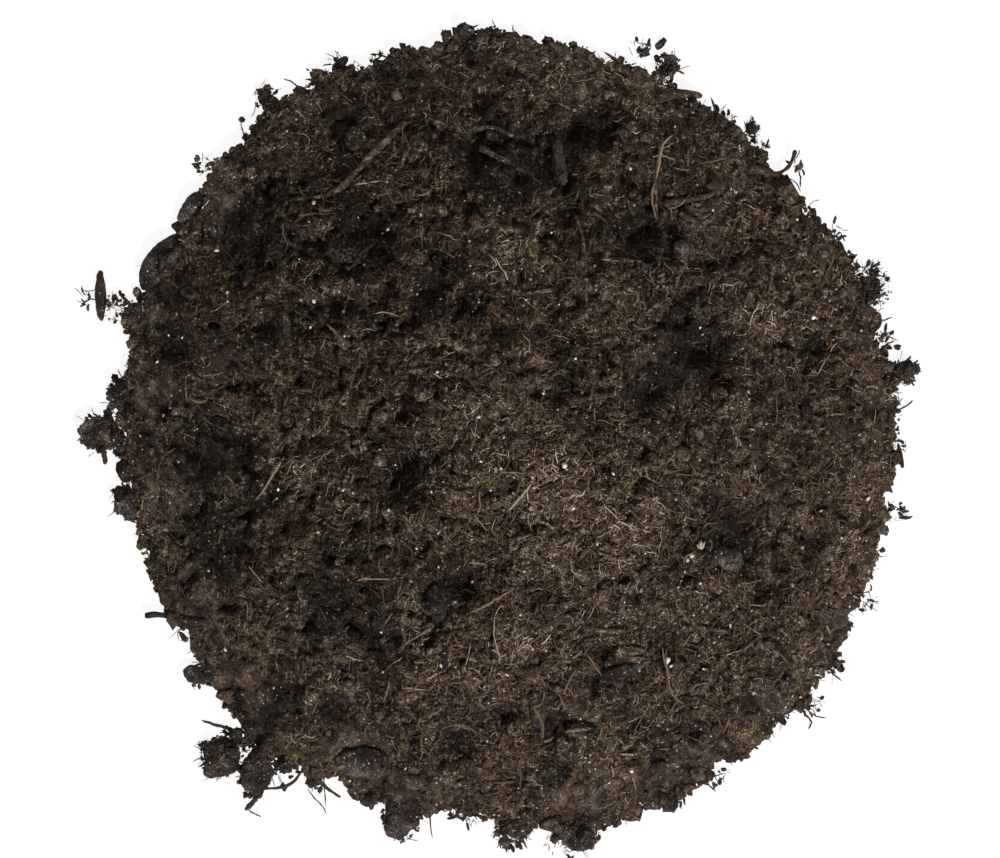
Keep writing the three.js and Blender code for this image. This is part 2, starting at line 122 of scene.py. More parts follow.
# Notches in the rim: direction in degrees from +X, half width in degrees, and depth in millimetres, which
# is below 0 where the rim bulges out instead
RIM_NOTCHES = [
    (13.5, 2.6, 4.4), (20, 1.3, 4), (23.5, 1.5, 2.6), (44, 2.4, 2.8), (60, 3, 2.2), (75, 1.8, 3),
    (84, 1.4, 2.8), (92, 4.2, -4.4), (96.5, 1.4, -3), (105, 1.2, -2), (117, 1.2, -3.4), (132, 1.2, 3),
    (137, 1.8, -2.6), (148, 1.4, -1.8), (153, 2.6, -4.6), (158.5, 2.6, -5.2), (162.8, 2, -5),
    (-111, 3.2, -4.4), (-103.4, 1, 1.5), (-101.6, 1.2, -3.4), (-87, 1.2, -3), (-84, 1.1, 2.6),
    (-69, 1.4, 3), (-56.5, 1.8, 5), (-46, 1.5, 1.6), (-42, 1.1, -3), (-34.5, 1.9, -4), (-27, 1.2, 3.2),
    (-14, 2, 2), (-9, 1.6, 5),
]

# Directions in degrees between which smooth slabs make the rim, with hardly any litter on it
SLAB_EDGE = (141, 160)

# Sticky patches with few fibres: column, row and radius in the photograph's pixels
SMOOTH_PATCHES = [
    (565, 85, 40), (150, 480, 55), (150, 300, 38), (190, 600, 50), (250, 700, 60), (350, 775, 60),
    (450, 800, 40), (580, 815, 50), (690, 770, 60), (780, 720, 50), (840, 620, 35), (225, 205, 28),
    (345, 115, 22), (860, 420, 30), (660, 370, 40), (220, 360, 40), (150, 400, 40),
]

# Patches matted with pale fibres
MATTED_PATCHES = [
    (505, 255, 38), (755, 335, 48), (560, 480, 95), (620, 540, 60), (515, 640, 50), (470, 680, 55),
    (690, 600, 85), (430, 420, 60), (380, 500, 60), (300, 470, 40), (275, 118, 40), (545, 95, 30),
]

# Broad patches that are darker or lighter than the rest
DARK_PATCHES = [
    (435, 280, 36), (360, 235, 44), (520, 160, 52), (590, 130, 28), (640, 230, 34), (690, 350, 40),
    (650, 392, 30), (215, 450, 40), (230, 530, 44), (400, 470, 38), (340, 600, 40), (440, 590, 30),
    (730, 530, 34), (255, 230, 42), (170, 350, 26), (262, 490, 24), (285, 700, 26), (388, 655, 28),
    (545, 725, 24), (668, 650, 22), (556, 768, 18), (330, 712, 22), (262, 738, 26), (228, 700, 18),
    (145, 440, 16),
]
LIGHT_PATCHES = [
    (510, 255, 34), (560, 480, 34), (620, 535, 40), (515, 640, 24), (560, 545, 30), (760, 330, 22),
    (300, 470, 18), (290, 110, 40), (225, 190, 30), (545, 95, 38), (640, 85, 26),
]

# Single fibres and thin sticks that can be told apart: paleness from 0 to 1, width in pixels, and the
# pixels along each
NAMED_STRANDS = [
    (0.8, 3, (508, 511), (520, 497), (532, 482)), (0.75, 2.5, (533, 464), (543, 471), (553, 480)),
    (0.7, 2, (473, 512), (480, 521), (487, 530)), (0.8, 2, (603, 504), (610, 511), (617, 518)),
    (0.65, 2, (575, 495), (573, 503), (570, 511)), (0.6, 1.6, (439, 468), (447, 462), (454, 459)),
    (0.6, 2, (488, 437), (493, 431), (498, 425)), (0.6, 1.5, (580, 444), (588, 453), (596, 462)),
    (0.55, 1.2, (462, 490), (464, 500), (470, 510)), (0.55, 2, (430, 447), (440, 450), (452, 454)),
    (0.6, 1.1, (490, 478), (498, 484), (507, 484)), (0.85, 1.5, (426, 679), (436, 673), (445, 669)),
    (0.85, 1.3, (345, 654), (356, 658), (366, 660)), (0.8, 1.3, (393, 662), (399, 659), (403, 656)),
    (0.75, 1.8, (414, 660), (421, 661), (428, 661)), (0.8, 1.5, (470, 644), (469, 654), (466, 664)),
    (0.85, 1.3, (503, 599), (494, 616), (494, 634), (497, 648), (502, 660)),
    (0.6, 3, (470, 612), (485, 604), (500, 595), (516, 586)),
    (0.65, 3, (468, 561), (478, 562), (488, 564)), (0.9, 1.4, (420, 554), (425, 557), (428, 560)),
    (0.75, 1.5, (356, 580), (370, 577), (388, 578), (406, 576)),
    (0.65, 1.6, (434, 618), (431, 626), (420, 634), (412, 638), (404, 645)),
    (0.65, 1.5, (385, 624), (390, 616), (396, 609)), (0.6, 1.8, (366, 690), (369, 695), (371, 701)),
    (0.6, 1.8, (383, 702), (388, 690), (390, 678)), (0.8, 1.1, (648, 160), (657, 156), (666, 156)),
    (0.45, 3, (688, 150), (687, 162), (686, 172)), (0.5, 2, (700, 164), (712, 162), (728, 158)),
    (0.55, 1.5, (718, 162), (725, 167), (730, 172)), (0.6, 2, (670, 208), (671, 216), (671, 222)),
    (0.5, 1.5, (284, 222), (284, 236), (290, 247)), (0.5, 2.5, (299, 217), (312, 215), (325, 215)),
    (0.6, 1.5, (211, 313), (220, 308), (229, 302)), (0.5, 3, (327, 324), (336, 332), (347, 345)),
    (0.7, 1.3, (345, 314), (348, 305), (350, 295)), (0.5, 2, (767, 292), (770, 283), (771, 274)),
    (0.75, 2, (764, 309), (768, 306), (770, 303)), (0.6, 1.3, (800, 320), (803, 313), (805, 306)),
    (0.7, 1.3, (792, 278), (795, 283), (799, 287)), (0.6, 2.5, (583, 648), (590, 658), (601, 675)),
    (0.7, 2, (560, 659), (568, 661), (575, 655), (582, 648)),
    (0.6, 2, (577, 666), (570, 676), (562, 694)), (0.8, 2.5, (620, 753), (627, 753), (634, 754)),
    (0.65, 2, (660, 642), (664, 660), (668, 680), (672, 696), (684, 703)),
    (0.6, 1.5, (666, 645), (664, 655), (667, 668), (666, 690)),
    (0.85, 1.6, (724, 655), (732, 652), (741, 649)), (0.5, 2, (708, 706), (716, 716), (722, 728)),
    (0.6, 1.5, (187, 378), (187, 390), (188, 402)), (0.6, 2.5, (191, 400), (200, 402), (208, 401)),
    (0.6, 1.5, (226, 474), (231, 479), (236, 484)), (0.75, 1.3, (256, 500), (263, 493), (270, 486)),
    (0.45, 1.6, (202, 418), (209, 421), (216, 426)),
    (0.6, 2, (443, 727), (456, 723), (468, 725), (478, 733)),
    (0.5, 4, (529, 701), (537, 710), (542, 722), (543, 738)),
    (0.6, 4, (564, 730), (579, 728), (592, 727)), (0.85, 1.6, (355, 186), (372, 183), (389, 182)),
    (0.75, 2.2, (287, 455), (274, 475), (261, 496)), (0.55, 3.5, (346, 443), (352, 450), (359, 458)),
    (0.5, 1.5, (518, 757), (521, 772), (520, 790)),
    (0.72, 3.2, (673, 136), (664, 142), (660, 152), (659, 166), (655, 182)),
    (0.62, 2.4, (655, 182), (651, 192), (652, 206), (656, 222)),
    (0.7, 1.2, (659, 152), (667, 147), (674, 143)), (0.75, 1.2, (659, 157), (667, 158), (675, 161)),
    (0.7, 1.2, (657, 170), (651, 174), (645, 176)),
]

# Dark twigs that stick out over the floor round the rim: width in pixels, and the pixels along each
RIM_STRANDS = [
    (1.8, (423, 794), (429, 812), (431, 826), (433, 839)), (2.2, (894, 412), (906, 406), (913, 400)),
    (1.3, (872, 334), (888, 337), (899, 341)), (3.4, (201, 720), (213, 724), (231, 729), (246, 733)),
    (3.4, (262, 789), (284, 787), (295, 781), (303, 768)), (6, (245, 810), (252, 803), (258, 795)),
    (1.6, (246, 807), (251, 812), (262, 817)), (1.5, (306, 788), (315, 799), (322, 805), (327, 815)),
    (1.4, (324, 776), (325, 795), (326, 808)), (6, (103, 446), (105, 456), (106, 465)),
    (1.6, (76, 441), (84, 437), (92, 434)), (1.3, (118, 369), (121, 376), (126, 380)),
    (1.3, (119, 469), (122, 476), (127, 479)), (1.6, (126, 515), (132, 521), (141, 525)),
    (1.2, (82, 290), (89, 291), (96, 290)), (1.6, (97, 300), (91, 299), (83, 303)),
    (1.3, (240, 116), (242, 128), (245, 140)), (1.6, (283, 78), (292, 82), (301, 89)),
    (1.5, (857, 258), (855, 266), (853, 274)), (1.6, (852, 262), (858, 266), (864, 268)),
    (1.6, (856, 336), (864, 339), (878, 345)), (1.8, (864, 366), (872, 372), (880, 378)),
    (1.5, (700, 779), (710, 776), (724, 774)), (1.6, (700, 782), (708, 784), (716, 792)),
    (2, (804, 712), (812, 722), (808, 730)), (1.5, (806, 710), (816, 716), (828, 718)),
    (1.8, (799, 170), (801, 179), (800, 188)), (1.4, (790, 178), (797, 184), (800, 192)),
    (1.3, (795, 160), (798, 155), (800, 149)), (2.2, (505, 50), (510, 40), (516, 30)),
    (1.6, (508, 46), (513, 34), (513, 24)), (1.5, (872, 366), (880, 366), (892, 366)),
    (1.6, (874, 320), (884, 320), (893, 317)), (2, (905, 366), (912, 364), (919, 360)),
    (2.4, (903, 374), (910, 380), (915, 387)),
]

# Small clods: column, row and width in the photograph's pixels
SMALL_CLODS = [
    (713, 186, 17), (274, 413, 15), (236, 737, 13), (246, 741, 11), (883, 530, 9), (284, 787, 8),
    (437, 592, 17), (435, 603, 13), (897, 347, 6), (886, 380, 7), (170, 262, 17), (166, 272, 15),
    (178, 252, 15), (117, 437, 14), (121, 447, 12), (108, 413, 11), (113, 405, 12), (121, 392, 14),
    (240, 768, 13), (262, 752, 14), (268, 742, 16), (231, 762, 10), (284, 765, 15), (312, 782, 9),
    (751, 128, 11), (720, 122, 13), (732, 130, 12), (706, 112, 12), (694, 104, 9), (872, 296, 12),
    (888, 366, 10), (908, 371, 9), (680, 792, 14), (662, 797, 12), (555, 838, 12), (586, 836, 14),
    (498, 832, 8), (505, 842, 9), (120, 506, 13), (130, 498, 12), (448, 39, 15), (465, 34, 17),
    (482, 37, 15), (440, 47, 12), (474, 45, 15), (495, 44, 12), (527, 41, 13), (548, 43, 12),
    (660, 44, 11), (670, 60, 12), (671, 71, 11), (657, 59, 8), (645, 52, 7), (355, 795, 12),
    (372, 800, 13), (385, 797, 10), (242, 120, 7), (884, 352, 9),
]

# Pale grains that stand out: column, row and width in the photograph's pixels
NAMED_GRAINS = [
    (712, 211, 6), (630, 170, 7), (302, 301, 4.5), (315, 302, 5.5), (345, 313, 5), (217, 251, 6),
    (812, 318, 6), (631, 770, 6), (590, 754, 4.5), (543, 394, 5), (539, 446, 3.5), (564, 465, 7),
    (612, 473, 5), (481, 461, 4), (501, 468, 3.5), (596, 518, 4), (439, 532, 3.5), (504, 437, 4),
    (228, 293, 4), (229, 302, 4), (439, 566, 5), (490, 577, 4.5), (382, 631, 4), (441, 664, 4),
    (171, 408, 5), (164, 416, 5), (169, 335, 3.5), (183, 338, 3), (158, 362, 4), (141, 436, 3.5),
]

# Ragged fringes of needles and dark chips: column, row and radius in pixels, and how many there are
FRINGES = [
    (868, 280, 15, 110), (874, 294, 8, 40), (902, 372, 12, 90), (512, 832, 15, 150), (465, 808, 14, 90),
    (714, 775, 9, 24), (722, 124, 13, 60), (750, 131, 6, 40), (760, 148, 7, 24), (217, 757, 17, 90),
    (254, 775, 14, 30), (570, 836, 24, 80), (670, 791, 17, 50), (668, 68, 11, 40), (266, 98, 9, 30),
    (338, 62, 6, 14), (405, 812, 11, 20), (96, 430, 14, 60), (117, 396, 8, 20), (124, 498, 12, 50),
    (316, 782, 7, 16), (286, 768, 12, 26), (884, 340, 9, 30), (890, 410, 9, 16), (832, 234, 11, 30),
    (122, 303, 9, 40), (87, 300, 5, 16), (234, 736, 9, 24), (811, 704, 10, 24), (196, 672, 9, 16),
    (465, 42, 15, 60), (506, 44, 8, 26), (640, 50, 10, 30), (203, 166, 9, 26), (796, 168, 6, 14),
    (384, 62, 11, 16), (894, 450, 9, 30), (892, 510, 10, 30), (862, 600, 12, 30), (110, 304, 6, 24),
]


# Sizes given in millimetres
def mm(*sizes):
    return [size * MM for size in sizes]


# Plan position of a pixel of the photograph
def plan(column, row):
    return (column - MIDDLE_PIXEL[0]) * PIXEL, (MIDDLE_PIXEL[1] - row) * PIXEL


def polar(angle, reach):
    return reach * np.cos(angle), reach * np.sin(angle)


# Numbers and noise that are the same on every run

# A number from 0 to 1 for each whole-number place
def chance(column, row, layer=0):
    number = np.asarray(column, np.int64) * 374761393 + np.asarray(row, np.int64) * 668265263
    number = (number + np.asarray(layer, np.int64) * 974634777) & 0xFFFFFFFF
    number = ((number ^ (number >> 13)) * 1274126177) & 0xFFFFFFFF
    return (number ^ (number >> 16)) / 0xFFFFFFFF


# Smooth noise from -1 to 1, with one swell for each size of length
def swell(x, y, size, seed):
    x, y = x / size, y / size
    column, row = np.floor(x), np.floor(y)
    across, along = x - column, y - row
    across, along = across * across * (3 - 2 * across), along * along * (3 - 2 * along)
    near = chance(column, row, seed) * (1 - across) + chance(column + 1, row, seed) * across
    far = chance(column, row + 1, seed) * (1 - across) + chance(column + 1, row + 1, seed) * across
    return 2 * (near * (1 - along) + far * along) - 1


# The sum of several swells, whose lengths are in the given unit
def swells(x, y, rows, unit):
    return sum(strength * swell(x, y, size * unit, seed) for strength, size, seed in rows)


# One swell over space, for points given as rows
def swell_3d(points, size, seed):
    height = points[:, 2] / size
    layer = np.floor(height)
    rise = height - layer
    rise = rise * rise * (3 - 2 * rise)
    x, y = points[:, 0], points[:, 1]
    return swell(x, y, size, seed + 7 * layer) * (1 - rise) + swell(x, y, size, seed + 7 * layer + 7) * rise


# Round lumps packed side by side: 1 on each lump's middle, 0 in the gaps between them
def lumps(x, y, size, seed):
    x, y = x / size, y / size
    column, row = np.floor(x), np.floor(y)
    nearest = np.full(x.shape, 9.0)
    height = np.zeros(x.shape)
    for i in (-1, 0, 1):
        for j in (-1, 0, 1):
            c, r = column + i, row + j
            away = np.hypot(x - c - chance(c, r, seed), y - r - chance(c, r, seed + 1))
            closer = away < nearest
            nearest = np.where(closer, away, nearest)
            height = np.where(closer, 0.4 + 0.6 * chance(c, r, seed + 2), height)
    return height * np.clip(1 - 1.5 * nearest**2, 0, 1)


# How strongly any of the patches covers each point of the plan, from 0 to 1
def patch_cover(patches, x, y):
    cover = np.zeros(np.shape(x))
    for column, row, radius in patches:
        px, py = plan(column, row)
        away = np.hypot(x - px, y - py) / (radius * PIXEL)
        cover = np.maximum(cover, np.clip(1.4 - away, 0, 1))
    return cover


# How matted with fine threads each point of the plan is, from 0 to 1
def hairiness(x, y):
    matted, smooth = patch_cover(MATTED_PATCHES, x, y), patch_cover(SMOOTH_PATCHES, x, y)
    return np.clip(0.55 + 0.45 * matted - 0.45 * smooth + 0.2 * swell(x, y, 9 * MM, 35), 0, 1)


# The surface of the frame

# The faces of several nodes, for casting rays at
def tree_of(names):
    corners, faces = [], []
    for name in names:
        mesh = frame["nodes"][name].data
        start = len(corners)
        corners += [v.co.copy() for v in mesh.vertices]
        faces += [[start + i for i in p.vertices] for p in mesh.polygons]
    return BVHTree.FromPolygons(corners, faces)


SAMPLE_AXIS = np.arange(-SAMPLE_HALF, SAMPLE_HALF + SAMPLE_STEP / 2, SAMPLE_STEP)


# Height of the highest point under each sample, or 0 beside the object
def cast_down(tree):
    down = Vector((0, 0, -1))
    heights = np.zeros((len(SAMPLE_AXIS), len(SAMPLE_AXIS)))
    for row, y in enumerate(SAMPLE_AXIS):
        for column, x in enumerate(SAMPLE_AXIS):
            hit = tree.ray_cast(Vector((x, y, CAST_FROM)), down)[0]
            if hit:
                heights[row, column] = hit.z
    return heights


# Blurs a grid over a width given in its cells
def blur(grid, width):
    reach = int(3 * width)
    weights = np.exp(-0.5 * (np.arange(-reach, reach + 1) / width) ** 2)
    weights /= weights.sum()
    for axis in (0, 1):
        grid = np.apply_along_axis(lambda line: np.convolve(line, weights, "same"), axis, grid)
    return grid


# Value of a grid at points between its cells
def sample(grid, x, y):
    u = np.clip((x + SAMPLE_HALF) / SAMPLE_STEP, 0, len(SAMPLE_AXIS) - 1.001)
    v = np.clip((y + SAMPLE_HALF) / SAMPLE_STEP, 0, len(SAMPLE_AXIS) - 1.001)
    column, row = u.astype(int), v.astype(int)
    across, along = u - column, v - row
    near = grid[row, column] * (1 - across) + grid[row, column + 1] * across
    far = grid[row + 1, column] * (1 - across) + grid[row + 1, column + 1] * across
    return near * (1 - along) + far * along


# 1 where the heights show something and 0 beside it, with a soft edge
def cover_of(heights):
    return np.clip(1.6 * blur((heights > 0).astype(float), 1.2), 0, 1)


SLOT_OF = {row["node"]: row["material_slot"] for row in frame["record"]["subparts"]}
SCRAPS = sorted(set(frame["nodes"]) - {"compost_mass"})
CLODS = [node for node in SCRAPS if SLOT_OF[node] == "clod"]
mass_top = cast_down(tree_of(["compost_mass"]))
clod_top = cast_down(tree_of(CLODS))
woody_top = cast_down(tree_of(sorted(set(SCRAPS) - set(CLODS))))
scrap_top = np.maximum(clod_top, woody_top)
inside_mass = blur((mass_top > 0).astype(float), 2)
mass_smooth = blur(mass_top, 2) / np.maximum(inside_mass, 0.05)
scrap_cover = cover_of(scrap_top)
clod_cover = cover_of(clod_top)
woody_cover = cover_of(woody_top)


# Angles and distances from the middle of the rim's corners, which lie on the ground in the outer fifth
def rim_table():
    corners = np.array([v.co for v in frame["nodes"]["compost_mass"].data.vertices])
    low = corners[corners[:, 2] < 0.1 * MM]
    reach = np.hypot(low[:, 0], low[:, 1])
    outer = low[reach > 0.8 * reach.max()]
    angles = np.arctan2(outer[:, 1], outer[:, 0])
    order = np.argsort(angles)
    return angles[order], np.hypot(outer[:, 0], outer[:, 1])[order]


RIM_ANGLES, RIM_REACHES = rim_table()


# Distance of the rim from the middle, in directions given in radians
def rim_reach(angle):
    turned = (angle + np.pi) % (2 * np.pi) - np.pi
    reach = np.interp(turned, RIM_ANGLES, RIM_REACHES, period=2 * np.pi)
    for direction, half_width, depth in RIM_NOTCHES:
        reach = reach - depth * MM * np.exp(-(((np.degrees(turned) - direction) / half_width) ** 2))
    return reach


# Share of the way from the middle to the rim
def share_out(x, y):
    return np.hypot(x, y) / rim_reach(np.arctan2(y, x))


# Depth of the dark hollows, the sunken dark patches and the small pits
def hollow_depth(x, y):
    depth = np.zeros(np.shape(x))
    ragged = 1 + 0.35 * swell(x, y, 5 * MM, 31)
    for column, row, width, deep in HOLLOWS:
        px, py = plan(column, row)
        away = np.hypot(x - px, y - py) / (0.5 * width * PIXEL * ragged)
        depth = np.maximum(depth, deep * MM / (1 + away**5))
    sunk = PATCH_DEPTH * patch_cover(DARK_PATCHES, x, y) * (1 + 0.5 * swell(x, y, 6 * MM, 33))
    return np.maximum(depth, sunk + pit_depth(x, y))


# Depth of the small ragged pits that lie all over the heap
def pit_depth(x, y):
    across, along = 0.8 * x - 0.6 * y, 0.6 * x + 0.8 * y
    field = swell(across, along, 8 * MM, 91) + 0.8 * swell(x, y, 4 * MM, 93)
    field = field + 0.6 * swell(across, along, 2.1 * MM, 95)
    return PIT_DEPTH * np.clip(-PIT_LEVEL - field, 0, 1)


# Shade of the compost, 0 to 1: broad patches, painted rim light, painted shade in hollows, unevenness of
# each size
def ground_tint(x, y, middle, spread):
    broad = 0.3 * patch_cover(LIGHT_PATCHES, x, y) - 0.26 * patch_cover(DARK_PATCHES, x, y)
    # The outer tenth of the way to the rim is painted lighter: painted light on the rim
    edge = 0.12 * np.clip((share_out(x, y) - 0.86) / 0.1, 0, 1)
    uneven = swells(x, y, SHADE_SWELLS, MM)
    # The deeper a hollow, sunken dark patch or pit lies, the darker it is painted: painted shade in the
    # recesses
    return np.clip(middle + broad + edge + spread * uneven - 65 * hollow_depth(x, y), 0, 1)


# Height of the crumbly surface over the plan
def surface(x, y):
    base = sample(mass_smooth, x, y)
    scrap = sample(scrap_cover, x, y)
    inland = 1 - np.clip(share_out(x, y), 0, 1) ** 8
    relief = 1.6 * MM * swell(x, y, 21 * MM, 3)
    for height, size, seed in SURFACE_LUMPS:
        relief = relief + height * MM * lumps(x, y, size * MM, seed)
    relief = relief - LUMP_DROP - hollow_depth(x, y)
    under_scraps = relief * (1 - 0.8 * scrap) - 0.8 * MM * scrap
    return np.maximum(base + inland * under_scraps, LEAST_HEIGHT)


# The highest point so far over each place of the plan, as the layers pile up
class Pile:
    def __init__(self):
        self.axis = np.arange(-SAMPLE_HALF, SAMPLE_HALF + TOP_STEP / 2, TOP_STEP)
        x, y = np.meshgrid(self.axis, self.axis)
        ground = np.where(share_out(x, y) < 1, surface(x, y), 0)
        self.top = np.maximum(ground, sample(scrap_top, x, y))

    def cell(self, place):
        return np.clip(np.rint((place + SAMPLE_HALF) / TOP_STEP).astype(int), 0, len(self.axis) - 1)

    def height(self, x, y):
        return self.top[self.cell(y), self.cell(x)]

    # Adds round lumps, given by their middles and whole widths
    def add_lumps(self, centres, sizes):
        for (x, y, z), size in zip(centres, sizes, strict=True):
            reach = LUMP_REACH * size
            left, right = np.searchsorted(self.axis, (x - reach, x + reach))
            low, high = np.searchsorted(self.axis, (y - reach, y + reach))
            across, along = self.axis[left:right] - x, self.axis[low:high] - y
            room = reach**2 - across[None] ** 2 - along[:, None] ** 2
            lump = np.where(room > 0, z + np.sqrt(np.maximum(room, 0)), 0)
            self.top[low:high, left:right] = np.maximum(self.top[low:high, left:right], lump)


pile = Pile()


# Meshes

# Numbers in one row, as Blender's foreach_set takes them
def floats(numbers):
    return np.ascontiguousarray(numbers, np.float32).ravel()


# A new object in the scene
def placed(name, data):
    made = bpy.data.objects.new(name, data)
    bpy.context.scene.collection.objects.link(made)
    return made


# One closed mesh of triangles, which rides on the heap's only body. Uv holds a flat map of each face's
# corners, and values holds numbers for each point.
def mesh_object(name, corners, faces, material, uv=None, values=None):
    mesh = bpy.data.meshes.new(name)
    mesh.vertices.add(len(corners))
    mesh.vertices.foreach_set("co", floats(corners))
    mesh.loops.add(3 * len(faces))
    mesh.loops.foreach_set("vertex_index", np.ascontiguousarray(faces, np.int32).ravel())
    mesh.polygons.add(len(faces))
    mesh.polygons.foreach_set("loop_start", np.arange(0, 3 * len(faces), 3, dtype=np.int32))
    mesh.polygons.foreach_set("use_smooth", np.full(len(faces), True))
    mesh.update(calc_edges=True)
    for key, numbers in (values or {}).items():
        layer = mesh.attributes.new(key, "FLOAT", "POINT")
        layer.data.foreach_set("value", floats(numbers))
    if uv is not None:
        layer = mesh.uv_layers.new(name="OFBake")
        layer.data.foreach_set("uv", floats(uv))
    piece = placed(name, mesh)
    mesh.materials.append(material)
    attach(piece, "root")
    return piece


# Places each of count small maps in its own cell of a square, with a gap round it
def in_cells(uv, count):
    across = math.ceil(math.sqrt(count))
    number = np.arange(count)
    corner = np.stack([number % across, number // across], 1) / across
    room = 0.9 / across
    return corner[:, None, None, :] + 0.05 / across + room * uv[None]


# An icosahedron with its pole up, split into smaller triangles, and a flat map of each face's corners
def ball(splits):
    ring = np.arange(5) * 2 * np.pi / 5
    height, width = 1 / math.sqrt(5), 2 / math.sqrt(5)
    upper = np.stack([width * np.cos(ring), width * np.sin(ring), np.full(5, height)], 1)
    lower_ring = ring + np.pi / 5
    lower = np.stack([width * np.cos(lower_ring), width * np.sin(lower_ring), np.full(5, -height)], 1)
    points = np.concatenate([[[0, 0, 1]], upper, lower, [[0, 0, -1]]])

    def flat(angle, reach):
        return [0.5 + reach * math.cos(angle), 0.5 + reach * math.sin(angle)]

    triangles, maps = [], []
    for k in range(5):
        after = (k + 1) % 5
        a, b = ring[k], ring[k] + 2 * np.pi / 5
        low, next_low = lower_ring[k], lower_ring[k] + 2 * np.pi / 5
        triangles += [[0, 1 + k, 1 + after], [1 + k, 6 + k, 1 + after]]
        triangles += [[1 + after, 6 + k, 6 + after], [6 + k, 11, 6 + after]]
        maps += [[[0.5, 0.5], flat(a, 0.17), flat(b, 0.17)], [flat(a, 0.17), flat(low, 0.3), flat(b, 0.17)]]
        maps += [[flat(b, 0.17), flat(low, 0.3), flat(next_low, 0.3)]]
        maps += [[flat(low, 0.3), flat((low + next_low) / 2, 0.48), flat(next_low, 0.3)]]
    points, triangles, maps = np.array(points), np.array(triangles), np.array(maps)
    for _ in range(splits):
        points, triangles, maps = split_ball(points, triangles, maps)
    return points, triangles, maps


# Splits each triangle into four, with the new points on the ball
def split_ball(points, triangles, maps):
    points, known, split, split_maps = list(points), {}, [], []

    def middle(a, b):
        key = (min(a, b), max(a, b))
        if key not in known:
            known[key] = len(points)
            point = points[a] + points[b]
            points.append(point / np.linalg.norm(point))
        return known[key]

    for (a, b, c), (ua, ub, uc) in zip(triangles, maps, strict=True):
        ab, bc, ca = middle(a, b), middle(b, c), middle(c, a)
        uab, ubc, uca = (ua + ub) / 2, (ub + uc) / 2, (uc + ua) / 2
        split += [[a, ab, ca], [ab, b, bc], [ca, bc, c], [ab, bc, ca]]
        split_maps += [[ua, uab, uca], [uab, ub, ubc], [uca, ubc, uc], [uab, ubc, uca]]
    return np.array(points), np.array(split), np.array(split_maps)


# Random turns, as one matrix for each piece
def random_turns(rng, count):
    q = rng.normal(size=(count, 4))
    q /= np.linalg.norm(q, axis=1, keepdims=True)
    w, x, y, z = q.T
    rows = [
        [1 - 2 * (y * y + z * z), 2 * (x * y - z * w), 2 * (x * z + y * w)],
        [2 * (x * y + z * w), 1 - 2 * (x * x + z * z), 2 * (y * z - x * w)],
        [2 * (x * z - y * w), 2 * (y * z + x * w), 1 - 2 * (x * x + y * y)],
    ]
    return np.moveaxis(np.array(rows), 2, 0)


# Many rough lumps in one mesh. Sizes are whole widths, and rough says how far their corners are moved.
def lump_batch(name, centres, sizes, tints, rng, material, splits=0, rough=0.24):
    points, triangles, maps = ball(splits)
    count = len(centres)
    shape = 1 + rough * rng.normal(size=(count, len(points)))
    if splits:
        spots = (points[None] * 1.3 + 40 * rng.random((count, 1, 3))).reshape(-1, 3)
        shape = 1 + rough * 1.8 * swell_3d(spots, 1, 71).reshape(count, -1)
        shape = shape + 0.7 * rough * rng.normal(size=(count, len(points)))
    unlike = rng.uniform(1 - STRETCH, 1 + STRETCH, (count, 1, 3))
    corners = points[None] * np.clip(shape, 0.4, 1.7)[..., None] * unlike * (sizes[:, None, None] / 2)
    corners = np.einsum("nij,nvj->nvi", random_turns(rng, count), corners)
    corners = corners + centres[:, None]
    corners[..., 2] = np.maximum(corners[..., 2], 0)
    faces = triangles[None] + len(points) * np.arange(count)[:, None, None]
    hair = hairiness(centres[:, 0], centres[:, 1])
    values = {"tint": np.repeat(tints, len(points)), "hair": np.repeat(hair, len(points))}
    uv = in_cells(maps, count)
    return mesh_object(name, corners.reshape(-1, 3), faces.reshape(-1, 3), material, uv, values)


# Many thin pieces in one mesh. Lines holds each one's points, and wide and thick its two half sizes there.
def strand_batch(name, lines, wide, thick, tints, material, sides=3):
    count, steps = lines.shape[:2]
    along = np.gradient(lines, axis=1)
    along /= np.maximum(np.linalg.norm(along, axis=2, keepdims=True), 1e-9)
    across = np.cross(along, np.array([0.03, 0.05, 1.0]))
    across /= np.maximum(np.linalg.norm(across, axis=2, keepdims=True), 1e-9)
    above = np.cross(across, along)
    rings = steps - 2
    turn = np.arange(sides) * 2 * np.pi / sides
    middle = lines[:, 1:-1, None]
    ring = middle + across[:, 1:-1, None] * (wide[:, 1:-1, None] * np.cos(turn))[..., None]
    ring = ring + above[:, 1:-1, None] * (thick[:, 1:-1, None] * np.sin(turn))[..., None]
    corners = np.concatenate([lines[:, :1], ring.reshape(count, rings * sides, 3), lines[:, -1:]], 1)
    corners[..., 2] = np.maximum(corners[..., 2], 0)
    tip = 1 + rings * sides
    faces, maps = [], []
    for side in range(sides):
        after = (side + 1) % sides
        left, right = side / sides, (side + 1) / sides
        low, high = 1 / (steps - 1), (steps - 2) / (steps - 1)
        faces.append([0, 1 + after, 1 + side])
        maps.append([[(left + right) / 2, 0], [right, low], [left, low]])
        for k in range(rings - 1):
            a, b = 1 + k * sides + side, 1 + k * sides + after
            c, d = a + sides, b + sides
            near, far = (k + 1) / (steps - 1), (k + 2) / (steps - 1)
            faces += [[a, b, c], [b, d, c]]
            maps += [[[left, near], [right, near], [left, far]], [[right, near], [right, far], [left, far]]]
        last = 1 + (rings - 1) * sides
        faces.append([tip, last + side, last + after])
        maps.append([[(left + right) / 2, 1], [left, high], [right, high]])
    all_faces = np.array(faces)[None] + (tip + 1) * np.arange(count)[:, None, None]
    values = {"tint": np.repeat(tints, tip + 1)}
    uv = in_cells(np.array(maps), count)
    return mesh_object(name, corners.reshape(-1, 3), all_faces.reshape(-1, 3), material, uv, values)


